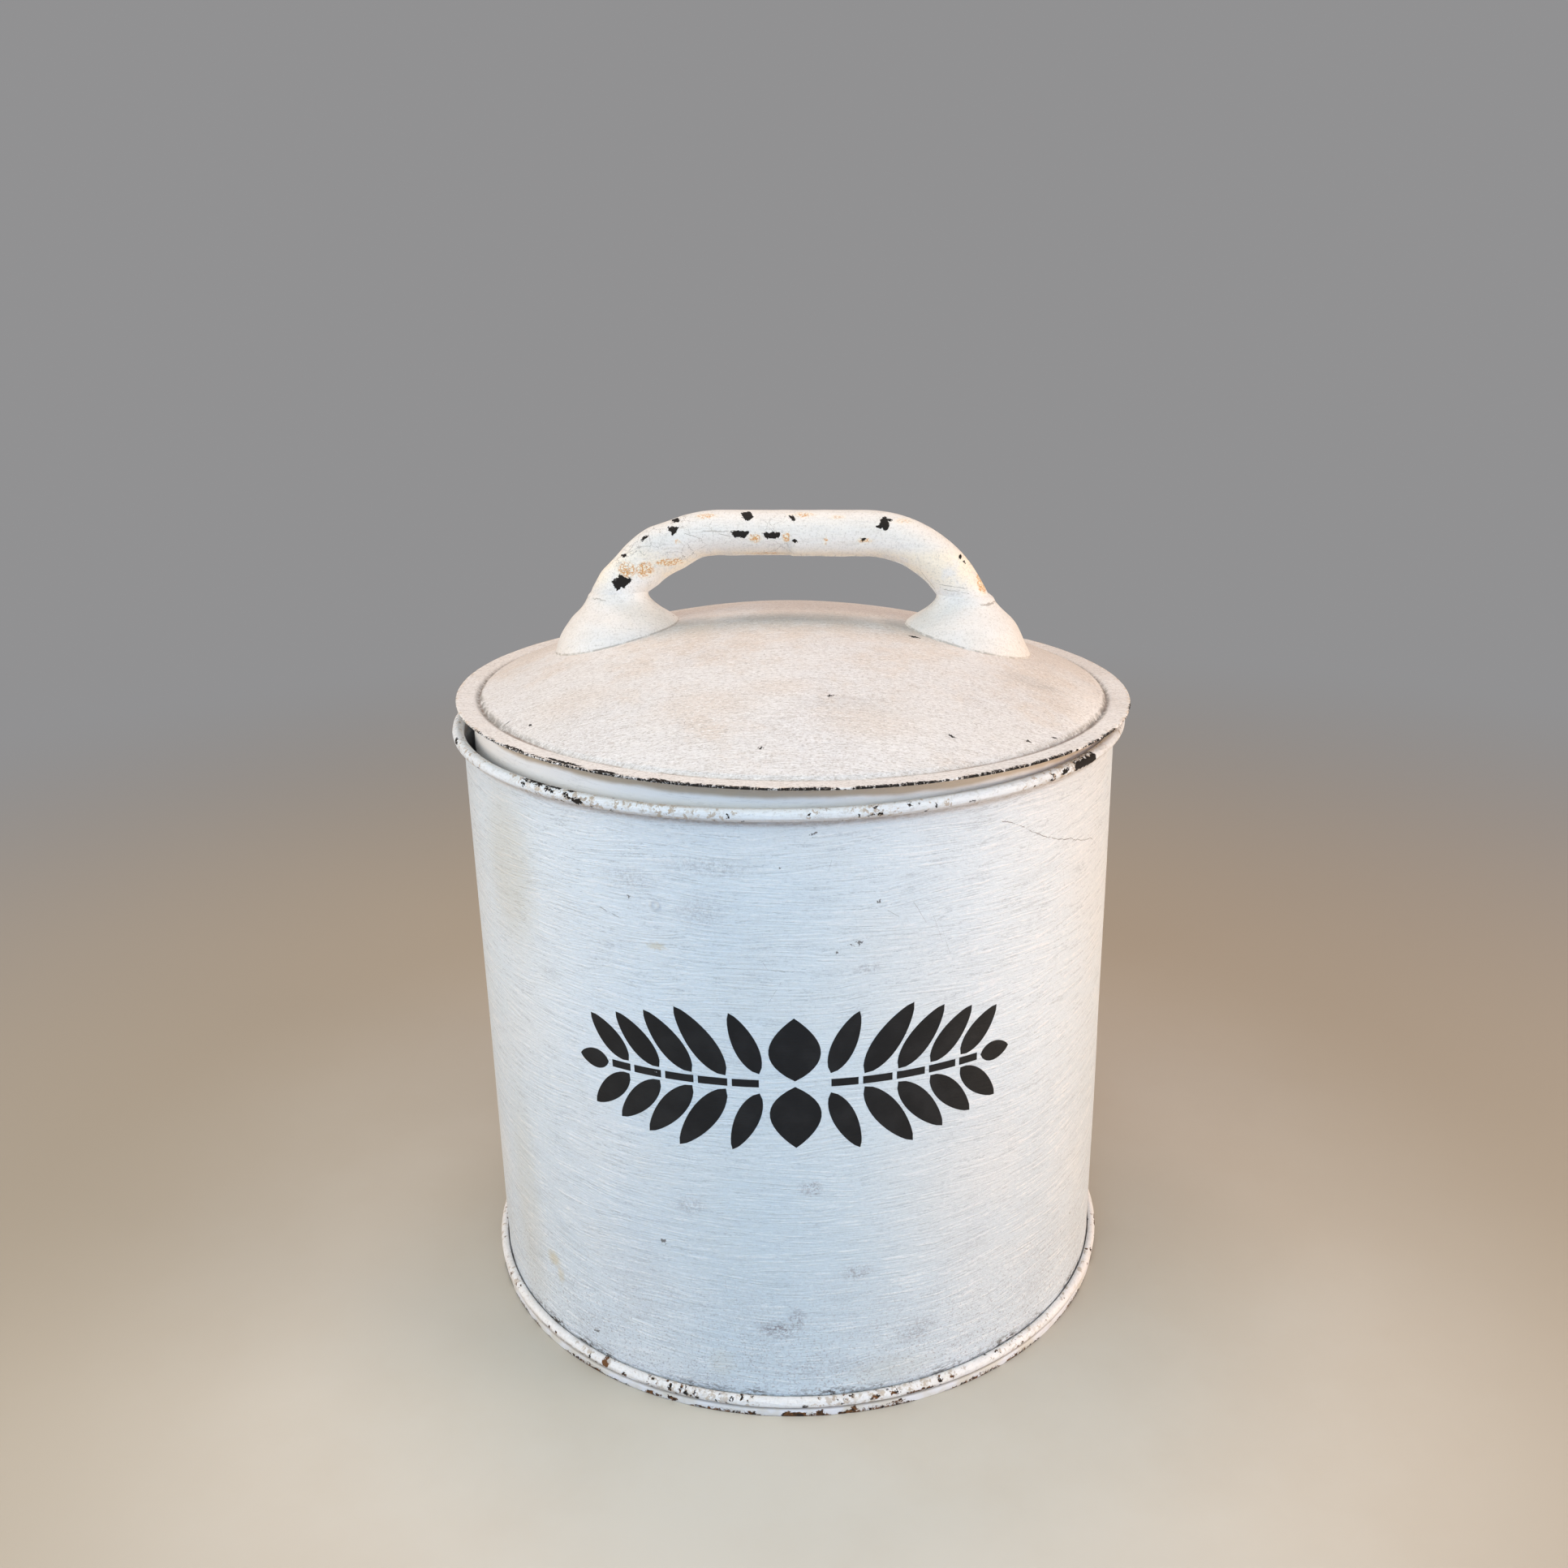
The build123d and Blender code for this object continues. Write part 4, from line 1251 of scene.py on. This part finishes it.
pink = marks_at(point, [
    ((-36, -94, 15), (26, 15, 20), 0.75), ((27, -106, 13), (24, 14, 20), 0.7), ((-7, -84, 21), (20, 9, 20), 0.6),
    ((-88, -72, 9), (24, 16, 20), 0.6), ((112, 6, 8), (20, 46, 20), 0.75),
], pink)
colour = tint(colour, (0.70, 0.585, 0.485), pink, 0.62)
# Towards the back the lid is painted darker and browner.
colour = tint(colour, (0.70, 0.60, 0.50), ramp(y, 5.0, 95.0), 0.34)
# The flange is painted lighter: paint worn clean, and a painted highlight at the sides, most at the right.
wiped_and_lit_flange = marks_at(point, [((132, -66, 1), (26, 46, 12), 0.95), ((144, -10, 1), (10, 40, 12), 0.9)])
side = calc("ABSOLUTE", x)
by_side = calc("MULTIPLY_ADD", ramp(side, 60.0, 120.0), 0.22, 0.34)
wiped_and_lit_flange = calc("MAXIMUM", wiped_and_lit_flange, times(ramp(radius, 140.0, 141.0), by_side))
colour = tint(colour, (0.97, 0.93, 0.89), wiped_and_lit_flange)
# Dirt and painted shade in the grooves of the strokes, and a painted highlight on their ridges.
colour = tint(colour, (0.44, 0.385, 0.34), strokes["Groove"], 0.60)
ridge_highlight = ramp(strokes["Relief"], 0.55, 0.85)
colour = tint(colour, (0.90, 0.885, 0.87), ridge_highlight, 0.50)

# %% The lid's paint: dust, shade and dirt
speckle = use(SPECKLE, Point=ragged, Spacing=7.0, Dot=0.5, Share=0.20)
colour = tint(colour, (0.42, 0.36, 0.31), speckle["Dust"], 0.50)
streaked = vector_calc("MULTIPLY", point, (0.6, 1.9, 1.2))
pepper = ramp(grain(streaked, 1.0, 3.0, 0.8), 0.49, 0.64)
colour = tint(colour, (0.38, 0.34, 0.31), pepper, 0.68)
salt = ramp(grain(vector_calc("ADD", streaked, (31, 7, 0)), 1.0, 3.0, 0.8), 0.52, 0.66)
colour = tint(colour, (0.96, 0.95, 0.94), salt, 0.80)
# Painted shadow: the handle's shadow on the dome between the feet, and fainter painted shade in the dent at the right
# and further forward.
shade = marks_at(point, [
    ((0, -3, 31), (54, 12, 12), 0.8), ((-46, 1, 28), (14, 11, 12), 0.8), ((48, -1, 28), (14, 11, 12), 0.9),
    ((100, -44, 12), (20, 8, 12), 0.40), ((20, -95, 18), (30, 8, 12), 0.18),
])
shade_streaks = ramp(streaky(point, (0.2, 0.9, 0.9), 3.0, 0.7), 0.36, 0.62)
colour = tint(colour, (0.32, 0.32, 0.32), shade, calc("MULTIPLY_ADD", shade_streaks, 0.30, 0.30))
# The channel is darkened grey, most at the left and right.
sideways = calc("MULTIPLY_ADD", ramp(side, 70.0, 132.0), 0.85, 0.12)
channel = times(ramp(radius, 136.6, 138.4), ramp(radius, 139.4, 141.2, 1.0, 0.0))
broken = ramp(streaky(point, (0.3, 0.3, 0.3), 4.0, 0.75), 0.34, 0.58)
channel_grey = times(channel, sideways, broken)
colour = tint(colour, (0.20, 0.18, 0.155), channel_grey, 0.85)
thin = times(ramp(radius, 138.5, 138.9), ramp(radius, 139.1, 139.6, 1.0, 0.0))
thin = times(thin, ramp(streaky(point, (0.05, 0.05, 0.05), 4.0, 0.7), 0.40, 0.56))
colour = tint(colour, (0.30, 0.20, 0.15), thin, 0.55)

# %% The lid's paint: the flange's worn edge, and the whole coat
from_edge = calc("SUBTRACT", FLANGE_R - 0.08, radius)
front = times(ramp(y, -40.0, -110.0), 0.20)
jolted = calc("SUBTRACT", parts(ragged)[0], x)
jag = calc("ADD", from_edge, times(jolted, 0.8))
edge = use(WORN, From_Edge=jag, Along=arc, Reach=2.1, Share=calc("ADD", front, 0.37))["Chip"]
kept = calc("ADD", grain(point, 1.1, 3.0, 0.75), times(ramp(x, -75.0, -25.0), 0.09))
edge = times(edge, calc("GREATER_THAN", kept, 0.47), calc("GREATER_THAN", radius, 145.0))
chip = chips_at(ragged, [
    ((60, -108, 12), (1.6, 0.5, 9), -20.0, 0.0, 0.8), ((90.7, -99.3, 4), (1.3, 0.4, 9)),
    ((101.9, -91.1, 3), (1.1, 0.5, 9)), ((-13, -123, 8), (1.1, 0.6, 9), 0.0, 0.0, 0.9),
    ((13.9, -90.1, 19), (2.2, 0.5, 9), 6.0, 0.0, 0.9), ((-105.4, -80.6, 4), (0.6, 0.5, 9)),
    ((-116, -71, 3), (1.5, 0.25, 9), 40.0, 0.0, 0.8), ((52.3, -21.6, 27), (2.6, 1.3, 9), -15.0, 0.0, 0.9),
    ((-20, 60, 24), (2.2, 0.9, 9)), ((-87, -118.6, 1), (9.0, 1.0, 9), -37.0, 0.2, 0.7),
    ((-108.5, -101, 1), (6.5, 0.7, 9), -46.0, 0.0, 0.7), ((-70, -130.5, 1), (5.0, 1.0, 9), -28.0, 0.0, 0.6),
    ((-50.0, -139.4, 1), (4.0, 0.9, 9), -20.0, 0.0, 0.7), ((70, 72, 16), (1.6, 0.8, 9)),
], edge)
colour = tint(colour, (0.20, 0.15, 0.12), speckle["Dots"], 0.6)
ochre = times(ramp(from_edge, 0.3, 2.2, 1.0, 0.0), ramp(grain(point, 0.3, 3.0), 0.50, 0.62))
colour = tint(colour, (0.60, 0.40, 0.20), ochre, 0.35)
end_coat(shader, colour, chip, strokes["Relief"], 0.16, 0.16, OLD_BLACK, 0.55)
lid.data.materials.append(lid_paint)
lid.data.materials.append(bare_tin)

# %% [markdown]
# ## The collar's paint
#
# The collar is brushed round like the wall, in a white painted brighter than the wall's, a painted light in the
# flange's shade. Its top lies in the flange's shelter, where it is painted tan: painted shade, with some dirt.

# %% The collar's paint
collar_paint, shader, at = start_finish("collar_paint")
point, level = millimetres(at, LID_PLACE)
arc, height, radius = use(ROUND, Vector=level)[:3]
strokes = use(STROKES, Along=arc, Across=height, Length=20.0, Width=0.75, Wander=2.0)
# Painted light: the collar's white is brighter than the wall's, against the flange's shade.
colour = blend(ramp(grain(point, 0.02, 3.0), 0.40, 0.66), (0.95, 0.92, 0.89, 1), (0.92, 0.90, 0.88, 1))
# Painted shade with some dirt: the collar's top is tinted tan below the flange, down a wavy line.
wavy = calc("MULTIPLY_ADD", grain(point, 0.05, 3.0), 3.0, height)
colour = tint(colour, (0.50, 0.385, 0.26), ramp(wavy, -4.8, -2.6), 0.90)
# Dirt and painted shade in the grooves of the strokes.
colour = tint(colour, (0.35, 0.33, 0.31), strokes["Groove"], 0.25)
rub = use(WORN, From_Edge=calc("ADD", height, COLLAR_DEPTH), Along=arc, Reach=2.2, Share=0.50)["Chip"]
end_coat(shader, colour, rub, strokes["Relief"], 0.05, 0.12)
collar.data.materials.append(collar_paint)
collar.data.materials.append(bare_tin)

# %% [markdown]
# ## The handle's paint
#
# The handle is the most handled part and shows it. The chips have straight broken sides and are placed one by one, as
# is the ochre that has bled from the tube beside them. In the largest, on the left leg, a painted glint of grey stands
# for bare metal, and round it the leg is painted whiter, a painted highlight. Below, the paint along the lap is painted
# lighter and warmer, a painted bounce of light from the lid. Fine crazing runs in patches, where the thick coat has
# begun to let go, and a thin dark line of dirt and painted shade marks where the bells meet the dome.

# %% The handle's paint: strokes and stains
handle_paint, shader, at = start_finish("handle_paint")
point, level = millimetres(at, LID_PLACE)
x, y, z = parts(point)
strokes = use(STROKES, Along=x, Across=calc("ADD", y, z), Length=18.0, Width=0.9, Wander=2.0)
ragged = use(RAGGED, Point=point, Jolt=0.6)[0]
bloom = ramp(grain(point, 0.03, 3.0, 0.6), 0.36, 0.66)
colour = blend(bloom, (0.85, 0.825, 0.795, 1), (0.845, 0.795, 0.74, 1))
colour = tint(colour, (0.86, 0.825, 0.775), ramp(z, 46.0, 60.0), 0.7)
# Dirt and painted shade in the grooves of the strokes.
colour = tint(colour, (0.48, 0.45, 0.41), strokes["Groove"], 0.35)
# Painted bounce light: the bar's underside along the lap is painted lighter and warmer, as light from the lid.
bar_low = times(ramp(z, 64.5, 59.0), ramp(z, 42.0, 50.0))
painted_bounce_light = times(bar_low, ramp(grain(point, 0.09, 4.0, 0.65), 0.30, 0.56))
colour = tint(colour, (0.99, 0.87, 0.68), painted_bounce_light, 0.70)
# Painted highlight: the left leg is painted whiter round its big chip, where light from the left falls.
left_leg_highlight = marks_at(point, [((-72.0, -8.0, 50.0), (18, 12, 13), 0.75)])
colour = tint(colour, (0.98, 0.955, 0.925), left_leg_highlight)
stains = marks_at(ragged, [
    ((-16.5, -9.8, 67.6), (3.2, 5, 2.8), 1.0), ((-3.0, -9.8, 67.9), (2.2, 5, 2.8), 1.0),
    ((-64.6, -9.0, 51.8), (7.4, 7, 6.8), 1.3), ((-52.5, -7.5, 56.2), (9.5, 7, 2.5), 1.2),
    ((31.0, -9.7, 66.8), (4.5, 5, 1.6), 0.8), ((83.5, -4.0, 48.0), (4.2, 6, 7.0), 1.3),
    ((-73.0, -6.0, 53.0), (7, 7, 6.0), 0.7), ((-50.0, -8.0, 66.0), (2.2, 5, 1.2), 0.7),
    ((-38.0, -5.0, 76.5), (7, 4, 1.5), 0.6), ((4.0, -5.0, 77.0), (8, 4, 1.4), 0.6),
    ((19.0, -6.0, 76.0), (5, 4, 1.4), 0.5), ((48.0, -5.0, 74.5), (8, 4, 1.6), 0.5),
    ((14.0, -9.5, 66.5), (0.9, 4, 3.2), 0.7), ((-12.0, -3.0, 59.5), (18, 6, 1.6), 0.6),
    ((34.0, 4.0, 76.5), (9, 5, 2.5), 0.6), ((-30.0, 7.0, 72.0), (7, 5, 3.0), 0.7),
    ((62.0, 8.0, 66.0), (5, 5, 4.0), 0.7),
])
soaked = times(stains, 0.55)
colour = tint(colour, (0.97, 0.83, 0.57), soaked)
pores = calc("ABSOLUTE", calc("SUBTRACT", grain(point, 0.62, 3.0, 0.65), 0.5))
crust = times(ramp(pores, 0.02, 0.075, 1.0, 0.0), ramp(stains, 0.32, 0.64))
colour = tint(colour, (0.68, 0.30, 0.045), crust, 0.95)

# %% The handle's paint: crazing and cracks
craze = add("TexVoronoi", {"Vector": ragged, "Scale": 0.17}, feature="DISTANCE_TO_EDGE").outputs[0]
crazed = ramp(grain(vector_calc("ADD", point, (0, 40, 0)), 0.045, 3.0), 0.52, 0.64)
on_tube = ramp(z, 40.0, 43.0)
craze = times(calc("LESS_THAN", craze, 0.014), crazed, on_tube)
necks = marks_at(ragged, [((-87, -6, 39.4), (7, 8, 0.5), 1.0), ((86, -6, 38.6), (9, 8, 0.55), 1.0)])
necks = times(calc("GREATER_THAN", necks, 0.5), ramp(grain(point, 0.35, 3.0, 0.7), 0.34, 0.46))
lines = cracks_at(x, z, [
    (-39.0, 70.2, -25.0, 71.2, 0.17, 0.8), (-78.0, 57.0, -66.0, 63.5, 0.16, 0.8),
    (-47.0, 69.5, -40.0, 67.0, 0.14, 0.8), (-27.0, 68.4, -33.0, 69.4, 0.14, 0.4), (53.6, 61.1, 56.1, 52.1, 0.13, 1.0),
    (56.1, 52.1, 62.7, 43.9, 0.14, 0.8), (64.0, 47.2, 76.0, 45.6, 0.16, 0.6), (66.0, 45.2, 77.0, 43.4, 0.14, 0.6),
    (81.0, 52.8, 86.0, 45.0, 0.2, 0.4),
])
lines = times(lines, ramp(y, 0.0, -3.0))
cracks = calc("MAXIMUM", calc("MAXIMUM", craze, necks), lines)
colour = tint(colour, (0.22, 0.17, 0.13), cracks, 0.62)
speckle = use(SPECKLE, Point=ragged, Spacing=6.0, Dot=0.6, Share=0.20)
colour = tint(colour, (0.20, 0.15, 0.11), speckle["Dots"], 0.7)
colour = tint(colour, (0.46, 0.42, 0.38), speckle["Dust"], 0.28)
pepper = ramp(grain(point, 1.1, 3.0, 0.8), 0.50, 0.66)
colour = tint(colour, (0.50, 0.46, 0.41), pepper, 0.50)
# Dirt and painted contact shade: a thin dark line where the bells meet the dome.
from_middle = vector_calc("SUBTRACT", point, (0, 0, APEX_Z - DOME_R))
above = calc("SUBTRACT", add("VectorMath", {0: from_middle}, operation="LENGTH").outputs[1], DOME_R)
joint_dirt_and_shade = times(ramp(above, 0.9, 0.45), ramp(grain(point, 0.25, 4.0, 0.7), 0.34, 0.56))
colour = tint(colour, (0.30, 0.25, 0.20), joint_dirt_and_shade, 0.60)

# %% The handle's paint: chips, and the whole coat
facing_us = join(*(parts(ragged)[i] for i in (0, 2, 1)))
handle_chip = chips_at(facing_us, [
    ((-75.2, 47.8, -9.0), (4.6, 3.4, 6), 14.0, -0.35, 1.0), ((-77.2, 46.4, -9.0), (2.6, 3.0, 6), -6.0, 0.35, 0.9),
    ((-52.0, 70.3, -7.8), (1.5, 1.7, 6), 0.0, 0.75, 0.5), ((-51.2, 74.2, -3.7), (1.7, 0.8, 3)),
    ((-64.6, 66.9, -4.3), (2.1, 0.6, 3), 36.0, 0.0, 0.7), ((-73.7, 59.2, -4.3), (1.1, 0.8, 3), 0.0, -0.6, 0.6),
    ((-20.0, 76.4, -5.3), (2.5, 1.7, 2.6), -15.0, 0.4, 0.78), ((-0.5, 75.8, -6.4), (1.7, 0.7, 2.0), -32.0, 0.0, 0.7),
    ((-23.0, 69.2, -9.8), (3.3, 1.6, 4), 0.0, 0.16, 0.56), ((-9.5, 68.8, -9.8), (3.6, 1.35, 4), 0.0, 0.22, 0.60),
    ((0.8, 66.2, -9.6), (1.5, 1.0, 3), 0.0, 0.5, 0.95), ((39.4, 73.4, -8.4), (1.9, 2.5, 4), 20.0, 0.15, 0.68),
    ((37.2, 72.6, -8.4), (1.6, 0.8, 4), -12.0, 0.0, 0.8), ((40.5, 75.5, -6.2), (2.3, 0.35, 2), -16.0, 0.0, 0.6),
    ((30.2, 67.1, -9.7), (1.2, 0.8, 3), 0.0, 0.6, 0.7), ((72.8, 59.0, -5.5), (0.9, 0.8, 3), 30.0, 0.0, 0.9),
    ((74.8, 56.6, -5.8), (0.7, 0.7, 3), 0.0, 0.0, 0.9), ((-14.0, 71.0, 9.0), (4.2, 1.4, 4), 5.0, 0.3, 0.6),
    ((22.0, 75.2, 7.5), (2.6, 1.8, 4), -20.0, 0.0, 0.8), ((58.0, 70.5, 6.0), (3.0, 1.8, 4), -30.0, 0.0, 0.6),
    ((-66.0, 60.0, 8.5), (2.2, 2.6, 4), 0.0, 0.5, 0.7),
])
# Painted glint: a grey patch in the big chip on the left leg, for bare metal catching light.
glint = marks_at(point, [((-78.2, -9, 48.6), (1.1, 6, 1.9), 1.0)])
chip_colour = blend(glint, OLD_BLACK, (0.34, 0.33, 0.31, 1))
end_coat(shader, colour, handle_chip, strokes["Relief"], 0.15, 0.22, chip_colour, 0.46)
for made in (handle, *feet):
    made.data.materials.append(handle_paint)

# %% [markdown]
# ## Stencil black, wire and solder
#
# The stencil's black is flat and thin, so the strokes below print through it. The wires and the solder hardly show,
# but a bin that is opened or turned over should still look right: drawn steel is dull and streaked along its length,
# and solder is a soft grey that sets in smooth waves.

# %% Stencil black
stencil_black, shader, at = start_finish("stencil_black")
arc, height, radius = use(ROUND, Vector=at)[:3]
point = join(arc, height, radius)
strokes = use(STROKES, Along=arc, Across=height, Length=30.0, Width=0.95, Wander=2.4)
ragged = use(RAGGED, Point=point, Jolt=0.5)[0]
tone = blend(ramp(grain(point, 0.08, 3.0), 0.4, 0.7), (0.010, 0.010, 0.011, 1), (0.017, 0.017, 0.018, 1))
pinholes = use(SPECKLE, Point=ragged, Spacing=5.0, Dot=0.4, Share=0.12)["Dots"]
feed(shader, {
    "Base Color": blend(times(pinholes, 0.5), tone, (0.80, 0.80, 0.81, 1)),
    "Roughness": calc("MULTIPLY_ADD", strokes["Relief"], -0.08, 0.62),
    "Specular IOR Level": 0.22,
    "Normal": bump(times(strokes["Relief"], 0.00009)),
})
stencil.data.materials.append(stencil_black)

# %% Wire and solder
drawn_wire, shader, at = start_finish("drawn_wire")
arc, height, radius = use(ROUND, Vector=at)[:3]
streak = grain(join(times(arc, 0.05), times(height, 3.0), radius), 1.0, 3.0)
feed(shader, {
    "Base Color": blend(streak, (0.30, 0.29, 0.28, 1), (0.55, 0.53, 0.51, 1)),
    "Roughness": calc("MULTIPLY_ADD", streak, 0.3, 0.30),
    "Metallic": 1.0,
})
soft_solder, shader, at = start_finish("soft_solder")
point, _ = millimetres(at)
wave = grain(point, 0.22, 3.0)
feed(shader, {
    "Base Color": blend(wave, (0.38, 0.39, 0.40, 1), (0.60, 0.61, 0.62, 1)),
    "Roughness": calc("MULTIPLY_ADD", wave, 0.3, 0.25),
    "Metallic": 1.0,
    "Normal": bump(times(wave, 0.0004)),
})
for node, material in (("rim_wire", drawn_wire), ("foot_wire", drawn_wire), ("base_solder", soft_solder)):
    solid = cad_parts[node]
    if solid.material_slots:
        solid.material_slots[0].material = material
    else:
        solid.data.materials.append(material)
    print(node, "gets", material.name)

# %% [markdown]
# ## The floor
#
# A plain pale floor. Near the bin it has the warmth of worn stone, which comes back into the lower wall, and it is
# painted paler there and darker further out, a painted pool of light. Towards the back it is a little browner. Further
# off it glows by just the grey of the room, so that no horizon shows.

# %% The floor
floor_paint, shader, at = start_finish("floor_paint")
distance = add("VectorMath", {0: at}, operation="LENGTH").outputs[1]
far = ramp(distance, 0.30, 1.30)
# Painted pool of light: the floor is paler near the bin and darker further out.
near = ramp(distance, 0.18, 0.42)
mottle = ramp(grain(at, 7.0, 5.0, 0.6), 0.35, 0.70)
stone = blend(mottle, (0.70, 0.675, 0.61, 1), (0.66, 0.62, 0.545, 1))
stone = blend(near, stone, (0.50, 0.45, 0.37, 1))
behind = ramp(parts(at)[1], -0.25, 0.02)
stone = blend(times(behind, 0.55), stone, (0.36, 0.305, 0.235, 1))
feed(shader, {
    "Base Color": blend(far, stone, (0, 0, 0, 1)),
    "Emission Color": blend(far, (0, 0, 0, 1), ROOM_GREY),
    "Emission Strength": 1.0,
    "Roughness": 0.62,
    "Specular IOR Level": 0.0,
})
bm = bmesh.new()
bmesh.ops.create_grid(bm, x_segments=1, y_segments=1, size=14.0)
floor_mesh = bpy.data.meshes.new("floor")
bm.to_mesh(floor_mesh)
bm.free()
floor_mesh.materials.append(floor_paint)
floor = bpy.data.objects.new("floor", floor_mesh)
bpy.context.scene.collection.objects.link(floor)
